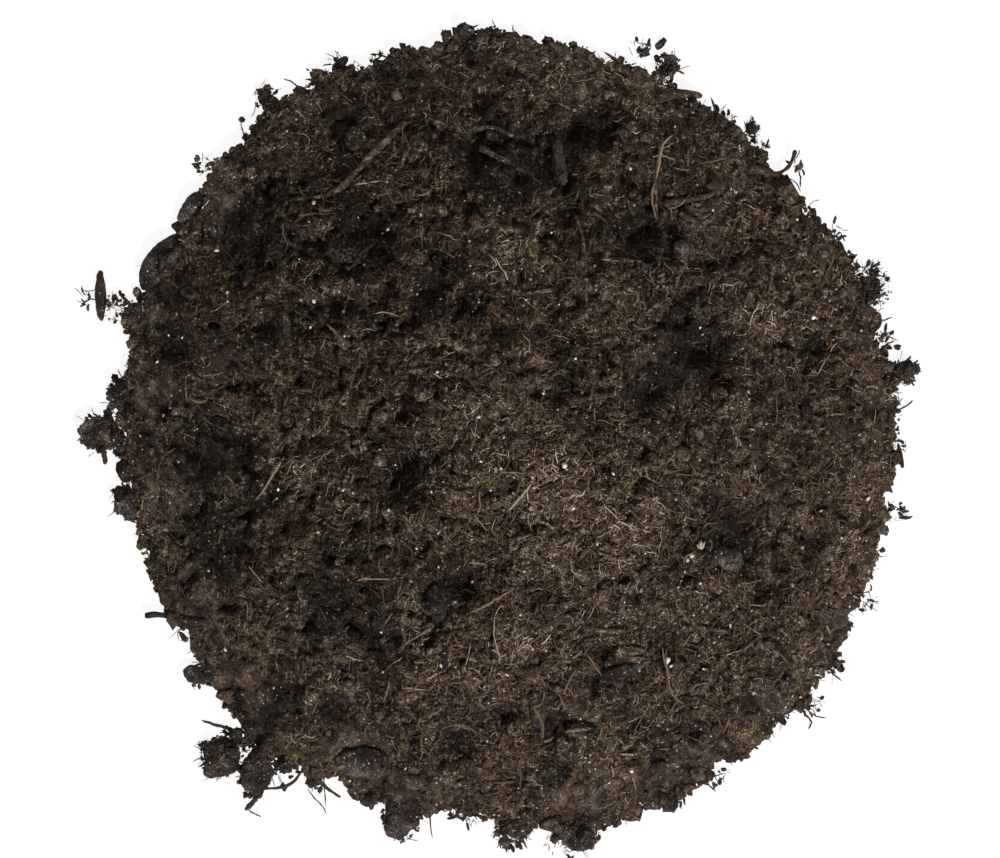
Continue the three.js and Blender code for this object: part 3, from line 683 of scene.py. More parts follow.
# Wandering lines that start at the given places and lie over the pile, arched up in the middle. Curl is how
# far each turns at its points, in radians.
def wandering_lines(rng, x, y, heading, length, steps, curl, lift, arch=0.0):
    count = len(x)
    bend = rng.normal(0, 0.25 * curl, (count, 1)) + rng.normal(0, curl, (count, steps - 1))
    turned = heading[:, None] + np.cumsum(bend, 1)
    step = (length / (steps - 1))[:, None]
    px = x[:, None] + np.concatenate([np.zeros((count, 1)), np.cumsum(step * np.cos(turned), 1)], 1)
    py = y[:, None] + np.concatenate([np.zeros((count, 1)), np.cumsum(step * np.sin(turned), 1)], 1)
    rise = np.sin(np.linspace(0, np.pi, steps))[None] * np.asarray(arch)[..., None]
    pz = pile.height(px, py)
    pz[:, 1:-1] = (pz[:, :-2] + 2 * pz[:, 1:-1] + pz[:, 2:]) / 4
    return np.stack([px, py, np.maximum(pz + lift[:, None] + rise, 0.3 * MM)], 2)


# Half sizes along a strand: thin at both ends, with uneven swellings
def tapered(rng, half, steps, uneven=0.25):
    shape = np.clip(1.25 * np.sin(np.linspace(0.12, np.pi - 0.12, steps)), 0, 1) ** 0.5
    return half[:, None] * shape[None] * (1 + uneven * rng.uniform(-1, 1, (len(half), steps)))


# Random points of the plan, evenly spread up to a share of the way to the rim, which are kept where
# wanted(x, y) is over a random number
def chosen_points(rng, count, wanted, most):
    angle = rng.uniform(0, 2 * np.pi, TRIES * count)
    x, y = polar(angle, np.sqrt(rng.random(TRIES * count)) * most * rim_reach(angle))
    kept = rng.random(TRIES * count) < wanted(x, y)
    return x[kept][:count], y[kept][:count]


# Materials

# A colour as Blender wants it, from red, green and blue between 0 and 255
def colour(red, green, blue):
    linear = [((c / 255 + 0.055) / 1.055) ** 2.4 if c > 10 else c / 255 / 12.92 for c in (red, green, blue)]
    return (*linear, 1)


# Makes a material's nodes, one call for each
class Finish:
    def __init__(self, name):
        self.material = bpy.data.materials.new(name)
        self.material.use_nodes = True
        self.tree = self.material.node_tree
        self.shader = self.tree.nodes["Principled BSDF"]
        self.place = self.node("ShaderNodeTexCoord").outputs["Object"]

    # Links a socket of another node to an input, or sets the input to a plain value
    def feed(self, made, socket, value):
        if isinstance(value, bpy.types.NodeSocket):
            self.tree.links.new(value, made.inputs[socket])
        else:
            made.inputs[socket].default_value = value

    def node(self, kind, links=(), **settings):
        made = self.tree.nodes.new(kind)
        for key, value in settings.items():
            setattr(made, key, value)
        for socket, value in dict(links).items():
            self.feed(made, socket, value)
        return made

    def attribute(self, name):
        return self.node("ShaderNodeAttribute", attribute_name=name).outputs["Fac"]

    def noise(self, scale, detail=2.0, roughness=0.5, distortion=0.0, place=None):
        links = {"Vector": place or self.place, "Scale": scale, "Detail": detail}
        links |= {"Roughness": roughness, "Distortion": distortion}
        return self.node("ShaderNodeTexNoise", links).outputs[0]

    def maths(self, operation, *values):
        return self.node("ShaderNodeMath", dict(enumerate(values)), operation=operation).outputs[0]

    def between(self, value, low, high, start=0.0, end=1.0):
        links = {"Value": value, "From Min": low, "From Max": high, "To Min": start, "To Max": end}
        return self.node("ShaderNodeMapRange", links).outputs[0]

    # Colours along a value: each stop is a place from 0 to 1, then red, green and blue
    def ramp(self, value, stops):
        made = self.node("ShaderNodeValToRGB", {"Fac": value})
        while len(made.color_ramp.elements) < len(stops):
            made.color_ramp.elements.new(1)
        for element, (place, *shade) in zip(made.color_ramp.elements, stops, strict=True):
            element.position = place
            element.color = colour(*shade)
        return made.outputs["Color"]

    def mix(self, share, first, second):
        links = {0: share, 6: first, 7: second}
        return self.node("ShaderNodeMix", links, data_type="RGBA").outputs[2]

    # Noise spread out to run from 0 to 1
    def full_noise(self, scale, detail=2.0, roughness=0.5, spread=0.17):
        return self.between(self.noise(scale, detail, roughness), 0.5 - spread, 0.5 + spread)

    # Thin wandering lines, as fine rootlets matted together: 1 on a line, 0 beside it
    def threads(self, scale, width):
        wave = self.noise(scale, detail=1.0, distortion=0.8)
        off = self.maths("ABSOLUTE", self.maths("SUBTRACT", wave, 0.5))
        return self.between(off, width, 0.4 * width)

    # Small round spots, on a share of the cells
    def spots(self, scale, size, share):
        cell = self.node("ShaderNodeTexVoronoi", {"Vector": self.place, "Scale": scale})
        near = self.between(cell.outputs["Distance"], size, 0.6 * size)
        pick = self.node("ShaderNodeSeparateColor", {0: cell.outputs["Color"]}).outputs[0]
        return self.maths("MULTIPLY", near, self.maths("LESS_THAN", pick, share))

    def bump(self, height, depth):
        made = self.node("ShaderNodeBump", {"Height": height, "Distance": depth, "Strength": 1})
        self.tree.links.new(made.outputs["Normal"], self.shader.inputs["Normal"])

    def set(self, socket, value):
        self.feed(self.shader, socket, value)


# Fine moist humus: dark crumbs, matted threads, pale mineral specks, near-white specks partly painted
# glints
def humus_finish():
    f = Finish("humus")
    grit = f.full_noise(1450, 3, 0.75, spread=0.13)
    tint = f.attribute("tint")
    grit_share = f.between(f.attribute("hair"), 0.1, 0.5, 0.32, 0.5)
    blotch = f.maths("MULTIPLY", f.full_noise(210), f.maths("SUBTRACT", 0.66, grit_share))
    shade = f.maths("MULTIPLY_ADD", grit, grit_share, blotch)
    shade = f.maths("MULTIPLY_ADD", tint, 0.34, shade)
    stops = [
        (0.14, 20, 12, 5), (0.42, 52, 37, 23),
        (0.64, 101, 78, 54), (0.82, 165, 143, 115), (0.96, 224, 209, 186),
    ]
    base = f.ramp(shade, stops)
    rusty = f.between(f.noise(75, 3), 0.56, 0.68, 0, 0.45)
    base = f.mix(rusty, base, f.ramp(shade, [(0.2, 34, 21, 12), (0.9, 136, 98, 68)]))
    sticky = f.between(f.attribute("hair"), 0.1, 0.45, 0.5, 0.0)
    cool = f.maths("MAXIMUM", sticky, f.between(f.noise(42, 3), 0.52, 0.64, 0, 0.4))
    base = f.mix(cool, base, f.ramp(shade, [(0.15, 28, 22, 20), (0.9, 116, 101, 93)]))
    threads = f.maths("MAXIMUM", f.threads(340, 0.04), f.threads(600, 0.035))
    breaks = f.between(f.noise(480, 1), 0.45, 0.56)
    hair = f.between(f.attribute("hair"), 0.1, 0.75, 0.2, 1.0)
    matted = f.maths("MULTIPLY", f.maths("MULTIPLY", threads, breaks), hair)
    thread_colour = f.ramp(f.noise(240, 1), [(0.35, 96, 78, 62), (0.65, 200, 186, 168)])
    base = f.mix(matted, base, thread_colour)
    clustered = f.between(f.noise(70, 2), 0.46, 0.58, 0.15, 1.0)
    base = f.mix(f.maths("MULTIPLY", clustered, f.spots(720, 0.3, 0.35)), base, colour(168, 156, 140))
    # Near-white specks: partly pale mineral grains, partly painted glints on wet grains
    base = f.mix(f.maths("MULTIPLY", clustered, f.spots(520, 0.27, 0.28)), base, colour(250, 246, 238))
    # Low tints are pulled toward near black: this darkens the darker crumbs and patches and deepens the
    # painted shade of the hollows
    base = f.mix(f.between(tint, 0.0, 0.5, 0.7, 0.0), base, colour(20, 13, 7))
    f.set("Base Color", base)
    f.bump(f.maths("MULTIPLY_ADD", matted, 0.5, grit), 0.6 * MM)
    f.set("Roughness", f.between(f.noise(700, 2), 0.35, 0.65, 0.5, 0.95))
    f.set("Specular IOR Level", 0.2)
    return f.material


# Sticky humus clods: smoother, greyer and a little purple, with pores and fine grit
def clod_finish():
    f = Finish("sticky_clod")
    grit = f.full_noise(1300, 3, 0.7)
    shade = f.maths("MULTIPLY_ADD", grit, 0.5, f.maths("MULTIPLY", f.full_noise(130), 0.5))
    stops = [
        (0.1, 20, 15, 12), (0.45, 56, 46, 40),
        (0.7, 96, 84, 77), (0.95, 160, 148, 138),
    ]
    base = f.ramp(shade, stops)
    base = f.mix(f.spots(700, 0.28, 0.3), base, colour(160, 147, 134))
    base = f.mix(f.spots(520, 0.24, 0.16), base, colour(236, 228, 214))
    f.set("Base Color", base)
    f.bump(grit, 0.8 * MM)
    f.set("Roughness", f.between(f.noise(500, 2), 0.35, 0.65, 0.45, 0.85))
    f.set("Specular IOR Level", 0.2)
    return f.material


# Woody pieces: grain runs along the piece, which is the length of its grain coordinates
def woody_finish(name, dark, middle, light, roughness=0.8):
    f = Finish(name)
    grain_place = f.node("ShaderNodeAttribute", attribute_name="grain").outputs["Vector"]
    grain = f.noise(1700, 3, 0.6, place=grain_place)
    blotch = f.noise(220, 3)
    shade = f.maths("MULTIPLY_ADD", grain, 0.7, f.maths("MULTIPLY", blotch, 0.3))
    base = f.ramp(shade, [(0.36, *dark), (0.5, *middle), (0.64, *light)])
    dirt = f.between(f.noise(380, 4, 0.75), 0.46, 0.58)
    soil = f.ramp(f.noise(1500, 2), [(0.35, 22, 16, 11), (0.65, 66, 53, 42)])
    base = f.mix(dirt, base, soil)
    base = f.mix(f.spots(700, 0.28, 0.25), base, colour(176, 160, 140))
    f.set("Base Color", base)
    f.bump(f.maths("MULTIPLY_ADD", dirt, 0.6, grain), 0.5 * MM)
    f.set("Roughness", f.between(grain, 0.3, 0.7, roughness - 0.12, roughness + 0.12))
    f.set("Specular IOR Level", 0.3)
    return f.material


# Strands: each has its own shade, from black-brown through brown to golden
def strand_finish(name, stops, mottle=0.25):
    f = Finish(name)
    fleck = f.noise(800, 2)
    own_shade = f.maths("MULTIPLY_ADD", f.attribute("tint"), 1.0, -mottle / 2)
    f.set("Base Color", f.ramp(f.maths("MULTIPLY_ADD", fleck, mottle, own_shade), stops))
    f.bump(fleck, 0.15 * MM)
    f.set("Roughness", f.between(fleck, 0.3, 0.7, 0.55, 0.85))
    f.set("Specular IOR Level", 0.2)
    return f.material


# Pale mineral grains, from brown to white
def grain_finish():
    f = Finish("pale_grain")
    fleck = f.noise(900, 3)
    shade = f.maths("MULTIPLY_ADD", fleck, 0.4, f.maths("MULTIPLY_ADD", f.attribute("tint"), 1.0, -0.2))
    stops = [
        (0.0, 104, 90, 74), (0.4, 160, 146, 126),
        (0.75, 212, 204, 188), (1.0, 248, 246, 240),
    ]
    f.set("Base Color", f.ramp(shade, stops))
    f.bump(fleck, 0.1 * MM)
    f.set("Roughness", f.between(fleck, 0.3, 0.7, 0.35, 0.65))
    return f.material


FIBRE_STOPS = [
    (0.0, 26, 17, 10), (0.35, 77, 59, 42), (0.62, 129, 109, 86),
    (0.84, 192, 176, 156), (1.0, 238, 228, 212),
]
SHRED_STOPS = [
    (0.0, 24, 19, 15), (0.45, 58, 44, 33),
    (0.8, 84, 68, 53), (1.0, 118, 98, 78),
]
NEEDLE_STOPS = [(0.0, 30, 24, 19), (0.6, 72, 58, 46), (1.0, 126, 104, 82)]

humus = humus_finish()
clod = clod_finish()
fibre = strand_finish("fibre", FIBRE_STOPS)
shred = strand_finish("shred", SHRED_STOPS, 0.4)
needle = strand_finish("needle", NEEDLE_STOPS)
grain = grain_finish()
WOODY = {
    "root": woody_finish("root_skin", (42, 31, 23), (94, 77, 62), (150, 132, 112)),
    "wood": woody_finish("twig_bark", (30, 23, 17), (72, 57, 45), (128, 108, 88)),
    "bark": woody_finish("bark", (24, 18, 15), (54, 43, 37), (98, 82, 70), 0.85),
    "straw": woody_finish("straw", (52, 37, 26), (108, 84, 64), (184, 158, 130), 0.7),
}


# The heap

# Rings of six more points each, a ragged edge down to the ground and a flat underside. The flat map holds
# the top as a disc, the edge as a band round it and the underside as a small disc in a corner.
def compost_skin():
    rng = np.random.default_rng(11)
    rings, ring_map = [np.zeros((1, 2))], [np.zeros((1, 2))]
    for ring in range(1, SKIN_RINGS + 1):
        angle = np.arange(6 * ring) * 2 * np.pi / (6 * ring)
        share = ring / SKIN_RINGS
        reach = share * rim_reach(angle)
        wobble = swells(*polar(angle, NOISE_RADIUS), RIM_WOBBLES, 1)
        wobble = wobble + rng.uniform(-0.6, 0.6, len(angle))
        reach = reach + share**12 * (wobble - 1.0) * MM
        rings.append(np.stack(polar(angle, reach), 1))
        ring_map.append(np.stack(polar(angle, 0.43 * share), 1))
    flat = np.concatenate(rings)
    jitter = rng.uniform(-0.25, 0.25, flat.shape) * MM
    inner = len(flat) - 6 * SKIN_RINGS
    flat[1:inner] += jitter[1:inner]
    heights = surface(flat[:, 0], flat[:, 1])
    top = np.concatenate([flat, heights[:, None]], 1)
    foot = top[inner:].copy()
    foot[:, 2] = 0
    corners = np.concatenate([top, foot, [[0, 0, 0]]])
    faces = ring_faces()
    flat_map = 0.5 + np.concatenate(ring_map)
    count = 6 * SKIN_RINGS
    step = np.arange(count)
    after = (step + 1) % count
    rim, base, middle = inner + step, len(top) + step, len(top) + count
    wall = np.concatenate([
        np.stack([rim, base, inner + after], 1),
        np.stack([inner + after, base, len(top) + after], 1),
    ])
    under = np.stack([np.full(count, middle), len(top) + after, base], 1)
    foot_map = 0.5 + (flat_map[inner:] - 0.5) * 1.08
    under_map = 0.07 + (flat_map[inner:] - 0.5) * 0.12
    wall_uv = np.concatenate([
        np.stack([flat_map[rim], foot_map[step], flat_map[inner + after]], 1),
        np.stack([flat_map[inner + after], foot_map[step], foot_map[after]], 1),
    ])
    under_uv = np.stack([np.full((count, 2), 0.07), under_map[after], under_map[step]], 1)
    uv = np.concatenate([flat_map[faces], wall_uv, under_uv])
    x, y = corners[:, 0], corners[:, 1]
    values = {"tint": ground_tint(x, y, 0.42, 0.2), "hair": hairiness(x, y)}
    faces = np.concatenate([faces, wall, under])
    skin = mesh_object("compost_surface", corners, faces, humus, uv, values)
    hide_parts("compost_mass")


# Triangles between the rings
def ring_faces():
    faces = []
    for ring in range(1, SKIN_RINGS + 1):
        start = 1 + 3 * ring * (ring - 1)
        inner_start = 0 if ring == 1 else 1 + 3 * (ring - 1) * (ring - 2)
        side, step = np.meshgrid(np.arange(6), np.arange(ring), indexing="ij")
        far, near = (side * ring + step).ravel(), (side * (ring - 1) + step).ravel()
        inner_count = max(1, 6 * (ring - 1))
        a, b = start + far, start + (far + 1) % (6 * ring)
        c = inner_start + near % inner_count
        faces.append(np.stack([a, b, c], 1))
        if ring > 1:
            inward = step.ravel() < ring - 1
            d = inner_start + (near + 1) % inner_count
            faces.append(np.stack([c, b, d], 1)[inward])
    return np.concatenate(faces)


# How welcome a crumb is at a place: few in the hollows, on the sticky patches and over the scraps
def crumb_room(x, y):
    clear = (1 - 0.93 * sample(woody_cover, x, y)) * (1 - 0.65 * sample(clod_cover, x, y))
    high = np.clip(1 - 190 * hollow_depth(x, y), 0.05, 1)
    return high * np.clip(0.4 + 1.2 * hairiness(x, y), 0, 1) * clear


# One layer of crumbs, laid on what lies there already: their least and mean width, and bed, which is how
# deep each one sinks as a share of its width
def crumb_layer(name, seed, count, width, bed, splits=0, rough=0.3, most=0.985):
    rng = np.random.default_rng(seed)
    least, mean = width
    x, y = chosen_points(rng, count, crumb_room, most)
    size = rng.gamma(5, (mean - least) / 5, len(x)) + least
    z = pile.height(x, y) + (rng.uniform(0.1, 0.5, len(x)) - bed) * size
    tints = np.clip(ground_tint(x, y, 0.45, 0.2) + rng.normal(0, 0.26, len(x)), 0, 1)
    centres = np.stack([x, y, z], 1)
    lump_batch(name, centres, size, tints, rng, humus, splits, rough)
    pile.add_lumps(centres, size)


def crumbs():
    crumb_layer("crumbs_coarse", 21, COARSE_CRUMBS, mm(2.2, 4.4), 0.4, splits=1, rough=0.26)
    crumb_layer("crumbs_middle", 22, MIDDLE_CRUMBS, mm(1.0, 2.1), 0.25)
    crumb_layer("crumbs_fine", 23, FINE_CRUMBS, mm(0.5, 1.15), 0.0, most=1.0)


# Where fibres lie: everywhere but the sticky patches, thickest on the matted ones
def fibre_room(x, y):
    edge = np.clip((1.02 - share_out(x, y)) / 0.2, 0.3, 1)
    clear = (1 - 0.6 * sample(woody_cover, x, y)) * (1 - 0.5 * sample(clod_cover, x, y))
    high = np.clip(1 - 130 * hollow_depth(x, y), 0.15, 1)
    return np.clip(0.1 + 0.95 * hairiness(x, y), 0, 1) * edge * clear * high


# One layer of fibres of even kind: their least and mean length, their least and greatest half width, how
# many points each has, how it turns at them, how high it lies and how many millimetres it is arched up
def fibre_layer(name, seed, count, length, half, steps, curl, lift, arch, sides=3):
    rng = np.random.default_rng(seed)
    x, y = chosen_points(rng, count, fibre_room, 0.99)
    count = len(x)
    least, mean = length
    lengths = rng.gamma(4, (mean - least) / 4, count) + least
    lifts = rng.uniform(*lift, count)
    arches = rng.exponential(arch * MM, count)
    heading = rng.uniform(0, 2 * np.pi, count)
    lines = wandering_lines(rng, x, y, heading, lengths, steps, curl, lifts, arches)
    halves = rng.uniform(*half, count)
    width = tapered(rng, halves, steps)
    darker = 1.1 - 0.3 * halves / (0.25 * MM)
    tints = np.clip(darker * (rng.beta(1.7, 2.3, count) + ground_tint(x, y, 0.4, 0.1) - 0.4), 0, 1)
    strand_batch(name, lines, width, width, tints, fibre, sides)


def fibres():
    fibre_layer("fibres_fine", 31, FINE_FIBRES, mm(1.2, 3.6), mm(0.09, 0.19), 5, 0.6, mm(0.3, 1.1), 0.25)
    fibre_layer("fibres_long", 32, FIBRES, mm(3, 7), mm(0.12, 0.26), 7, 0.38, mm(0.4, 1.4), 0.4)
    fibre_layer("rootlets", 33, ROOTLETS, mm(4, 9), mm(0.2, 0.4), 9, 0.2, mm(0.4, 1.5), 0.5, 4)
    fibre_layer("sticks", 36, STICKS, mm(3, 6.5), mm(0.3, 0.65), 5, 0.1, mm(0.4, 1.2), 0.2, 4)


# A line of the given number of points along a chain of pixels, as plan positions
def along_pixels(pixels, steps):
    points = np.array([plan(*pixel) for pixel in pixels])
    reach = np.concatenate([[0], np.cumsum(np.hypot(*np.diff(points, axis=0).T))])
    place = np.linspace(0, reach[-1], steps)
    line = np.stack([np.interp(place, reach, points[:, axis]) for axis in (0, 1)], 1)
    line[1:-1] = (line[:-2] + 2 * line[1:-1] + line[2:]) / 4
    return line


# The listed strands, each laid over the highest places under it, from which it may sag a little
def named_strands():
    rng = np.random.default_rng(37)
    steps = 12
    rim_rows = [(0.35, *row) for row in RIM_STRANDS]
    batches = [("named_strands", NAMED_STRANDS, fibre, 1.5 * MM), ("rim_strands", rim_rows, needle, 0)]
    for name, rows, finish, sag in batches:
        flat = np.array([along_pixels(pixels, steps) for _, _, *pixels in rows])
        flat = flat + rng.normal(0, 0.12, flat.shape) * MM
        halves = np.array([0.5 * width * PIXEL for _, width, *_ in rows])
        height = pile.height(flat[..., 0], flat[..., 1])
        height = np.maximum(height, height.max(1, keepdims=True) - sag)
        height[:, 1:-1] = (height[:, :-2] + height[:, 1:-1] + height[:, 2:]) / 3
        lines = np.concatenate([flat, (height + 0.8 * halves[:, None] + 0.2 * MM)[..., None]], 2)
        width = tapered(rng, halves, steps, 0.2)
        tints = 0.86 * np.array([tint for tint, *_ in rows])
        strand_batch(name, lines, width, width, tints, finish, 5)


# Clods too small for the frame, half sunk in what is under them
def small_clods():
    rng = np.random.default_rng(38)
    column, row, width = np.array(SMALL_CLODS).T
    x, y = plan(column, row)
    size = width * PIXEL
    centres = np.stack([x, y, np.maximum(pile.height(x, y) + 0.15 * size, 0.3 * size)], 1)
    tints = np.full(len(size), 0.5)
    lump_batch("small_clods", centres, size, tints, rng, clod, splits=2, rough=0.2)
    pile.add_lumps(centres, size)


# Flat bits of leaf, bark and wood
def shreds():
    rng = np.random.default_rng(34)
    x, y = chosen_points(rng, SHREDS, crumb_room, 0.97)
    count = len(x)
    length = rng.gamma(5, 0.8 * MM, count) + 1.5 * MM
    lift = rng.uniform(0.1, 0.8, count) * MM
    steps = 6
    heading = rng.uniform(0, 2 * np.pi, count)
    lines = wandering_lines(rng, x, y, heading, length, steps, 0.1, lift)
    wide = tapered(rng, rng.uniform(0.3, 0.9, count) * MM, steps)
    thick = tapered(rng, rng.uniform(0.15, 0.3, count) * MM, steps)
    strand_batch("shreds", lines, wide, thick, rng.beta(1.6, 2.2, count), shred, 4)


# Pale mineral grains, thickest on the matted patches, and the ones that are listed one by one
def grains():
    rng = np.random.default_rng(35)
    x, y = chosen_points(rng, GRAINS, lambda a, b: 0.3 + 0.7 * patch_cover(MATTED_PATCHES, a, b), 0.985)
    size = rng.gamma(2, 0.2 * MM, len(x)) + 0.35 * MM
    tints = rng.beta(1.5, 1.9, len(x))
    column, row, width = np.array(NAMED_GRAINS).T
    named_x, named_y = plan(column, row)
    x, y = np.concatenate([x, named_x]), np.concatenate([y, named_y])
    size = np.concatenate([size, 0.75 * width * PIXEL])
    tints = np.concatenate([tints, rng.uniform(0.7, 0.95, len(named_x))])
    centres = np.stack([x, y, pile.height(x, y) + rng.uniform(0.3, 0.9, len(x)) * size], 1)
    lump_batch("grains", centres, size, tints, rng, grain)


# Whether directions in radians lie where the smooth slabs are
def on_slabs(angle):
    degrees = np.degrees(angle) % 360
    return (degrees > SLAB_EDGE[0]) & (degrees < SLAB_EDGE[1])


# How crowded the litter is round the rim, by angle: it lies in clusters
def rim_crowd(angle):
    x, y = polar(angle, NOISE_RADIUS)
    crowd = np.clip(0.5 + 0.8 * swell(x, y, 14, 83) + 0.5 * swell(x, y, 5, 85), 0.2, 1)
    return np.where(on_slabs(angle), 0.04, crowd)


# Random directions, more of them where the litter is crowded
def crowded_angles(rng, count):
    angle = rng.uniform(0, 2 * np.pi, TRIES * count)
    return angle[rng.random(TRIES * count) < rim_crowd(angle)][:count]


# Crumbs heaped against the rim
def rim_crumbs():
    rng = np.random.default_rng(41)
    angle = crowded_angles(rng, RIM_CRUMBS)
    size = rng.gamma(3, 0.32 * MM, len(angle)) + 0.5 * MM
    x, y = polar(angle, rim_reach(angle) + rng.normal(-1.3, 1.1, len(angle)) * MM)
    centres = np.stack([x, y, pile.height(x, y) * 0.6 + 0.25 * size], 1)
    # Rim crumbs get a lighter tint than the crumbs inland: painted light against the shade they lie in at
    # the rim
    tints = np.clip(rng.normal(0.6, 0.2, len(angle)), 0, 1)
    lump_batch("rim_crumbs", centres, size, tints, rng, humus)
    pile.add_lumps(centres, size)


# Larger clumps that make the rim ragged
def rim_clumps():
    rng = np.random.default_rng(45)
    angle = crowded_angles(rng, RIM_CLUMPS)
    size = rng.gamma(4, 0.55 * MM, len(angle)) + 1.4 * MM
    x, y = polar(angle, rim_reach(angle) - 0.25 * size + rng.normal(-0.5, 0.9, len(angle)) * MM)
    centres = np.stack([x, y, 0.35 * size + 0.4 * pile.height(x, y)], 1)
    tints = np.clip(rng.normal(0.5, 0.15, len(angle)), 0, 1)
    lump_batch("rim_clumps", centres, size, tints, rng, humus, splits=1, rough=0.34)
    pile.add_lumps(centres, size)


# Needles that start at the given places. Half is the least and greatest half width in millimetres, and a
# higher fade makes more of them dark.
def needle_batch(name, rng, x, y, heading, length, lift, curl, half, fade):
    lines = wandering_lines(rng, x, y, heading, length, NEEDLE_POINTS, curl, lift)
    width = tapered(rng, rng.uniform(*half, len(x)) * MM, NEEDLE_POINTS)
    strand_batch(name, lines, width, width, rng.beta(1.6, fade, len(x)), needle)


# Needles that stick out of the rim, mostly outward
def rim_needles():
    rng = np.random.default_rng(42)
    angle = crowded_angles(rng, RIM_NEEDLES)
    count = len(angle)
    x, y = polar(angle, rim_reach(angle) + rng.normal(-3.4, 1.3, count) * MM)
    length = rng.gamma(3, 0.8 * MM, count) + 1.5 * MM
    lift = rng.uniform(0.1, 1.0, count) * MM
    heading = angle + rng.normal(0, 1.0, count)
    needle_batch("rim_needles", rng, x, y, heading, length, lift, 0.3, (0.1, 0.24), 2.6)


# The listed fringes: needles that point mostly outward, and short dark chips among them
def fringes():
    rng = np.random.default_rng(44)
    column, row, radius = np.repeat(np.array(FRINGES)[:, :3], np.array(FRINGES)[:, 3], 0).T
    total = len(radius)
    turn, away = rng.uniform(0, 2 * np.pi, total), radius * PIXEL * np.sqrt(rng.random(total))
    (x, y), (right, up) = plan(column, row), polar(turn, away)
    x, y = x + right, y + up
    heading = np.arctan2(y, x) + rng.normal(0, 0.9, total)
    length = rng.gamma(4, 0.5 * MM, total) + 1.2 * MM
    lift = rng.uniform(0, 0.8, total) * MM
    lines = wandering_lines(rng, x, y, heading, length, NEEDLE_POINTS, 0.25, lift)
    thin = rng.random(total) < NEEDLE_SHARE
    half = tapered(rng, rng.uniform(0.1, 0.26, total) * MM, NEEDLE_POINTS)
    tints = rng.beta(1.6, 3, total)
    strand_batch("fringe_needles", lines[thin], half[thin], half[thin], tints[thin], needle)
    chips = ~thin
    wide = tapered(rng, rng.uniform(0.3, 0.8, chips.sum()) * MM, NEEDLE_POINTS)
    thick = tapered(rng, rng.uniform(0.2, 0.4, chips.sum()) * MM, NEEDLE_POINTS)
    strand_batch("fringe_chips", lines[chips], wide, thick, tints[chips], needle, 4)


# Points over the clods that lie outside the rim, and over the gaps between them and the heap
def clod_points(rng, count):
    x, y = rng.uniform(-SAMPLE_HALF, SAMPLE_HALF, (2, 300 * count))
    out = share_out(x, y)
    angle = np.arctan2(y, x)
    near = sample(clod_cover, *polar(angle, np.hypot(x, y) + 5 * MM))
    cover = sample(clod_cover, x, y)
    edge = (cover > 0.35) & (cover < 0.93)
    wanted = (out > 0.985) & (edge | ((near > 0.5) & (out < 1.04))) & ~on_slabs(angle)
    return x[wanted][:count], y[wanted][:count]


# Crumbs and needles that cling to the clods round the rim and join them to the heap
def clod_litter():
    rng = np.random.default_rng(43)
    x, y = clod_points(rng, CLOD_CRUMBS)
    size = rng.gamma(3, 0.26 * MM, len(x)) + 0.4 * MM
    height = pile.height(x, y)
    centres = np.stack([x, y, height * rng.uniform(0.7, 1, len(x)) + 0.1 * size], 1)
    tints = np.clip(rng.normal(0.55, 0.22, len(x)), 0, 1)
    lump_batch("clod_crumbs", centres, size, tints, rng, humus)
    x, y = clod_points(rng, CLOD_NEEDLES)
    count = len(x)
    length = rng.gamma(3, 0.9 * MM, count) + 1.5 * MM
    lift = rng.uniform(0, 0.6, count) * MM
    heading = rng.uniform(0, 2 * np.pi, count)
    needle_batch("clod_needles", rng, x, y, heading, length, lift, 0.4, (0.1, 0.22), 2.2)


# The larger scraps

# A finer copy of a node's mesh, in place: smoothed, grown back to size and roughened along its normals
def fine_copy(name, levels, grow, roughs):
    mesh = frame["nodes"][name].data.copy()
    work = bmesh.new()
    work.from_mesh(mesh)
    bmesh.ops.remove_doubles(work, verts=work.verts, dist=1e-6)
    work.to_mesh(mesh)
    work.free()
    rough = placed("work", mesh)
    smoother = rough.modifiers.new("smoother", "SUBSURF")
    smoother.levels = smoother.render_levels = levels
    bpy.context.view_layer.update()
    made = bpy.data.meshes.new_from_object(rough.evaluated_get(bpy.context.evaluated_depsgraph_get()))
    bpy.data.objects.remove(rough)
    work = bmesh.new()
    work.from_mesh(made)
    bmesh.ops.triangulate(work, faces=work.faces)
    work.normal_update()
    corners = np.array([v.co for v in work.verts])
    normals = np.array([v.normal for v in work.verts])
    faces = np.array([[v.index for v in f.verts] for f in work.faces])
    work.free()
    push = np.full(len(corners), grow)
    for size, depth, seed in roughs:
        push = push + depth * swell_3d(corners + 0.31, size, seed)
    corners = corners + normals * push[:, None]
    corners[:, 2] = np.maximum(corners[:, 2], 0)
    return corners, faces


# Slender scraps, and how much thinner they are all round than in the frame
THINNED = {"root_curved_lower_left": 0.55 * MM, "straw_lower_left": 0.4 * MM}

# Scraps at the rim that look smaller than in the frame, as shares of their length and width
SHRUNK = {
    "chip_rim_right": (1.1, 0.42), "clump_rim_left_upper": (0.62, 0.9), "tuft_rim_right_high": (0.8, 0.75),
}


# Shrinks a scrap toward its innermost point, along its own length and width
def shrunk(node, corners):
    if node not in SHRUNK:
        return corners
    inner = corners[np.argmin(np.hypot(corners[:, 0], corners[:, 1]))]
    along = np.linalg.svd(corners - corners.mean(0), full_matrices=False)[2]
    corners = inner + ((corners - inner) @ along.T * [*SHRUNK[node], 1]) @ along
    corners[:, 2] = np.maximum(corners[:, 2], 0)
    return corners


# Wood grain is this much coarser along a scrap than across it
GRAIN_STRETCH = (0.12, 1, 1)

# A solid with fewer faces than this is split once more
FEW_FACES = 200

# How bumpy a slab is beside the other clods
SLAB_SHARE = 0.4


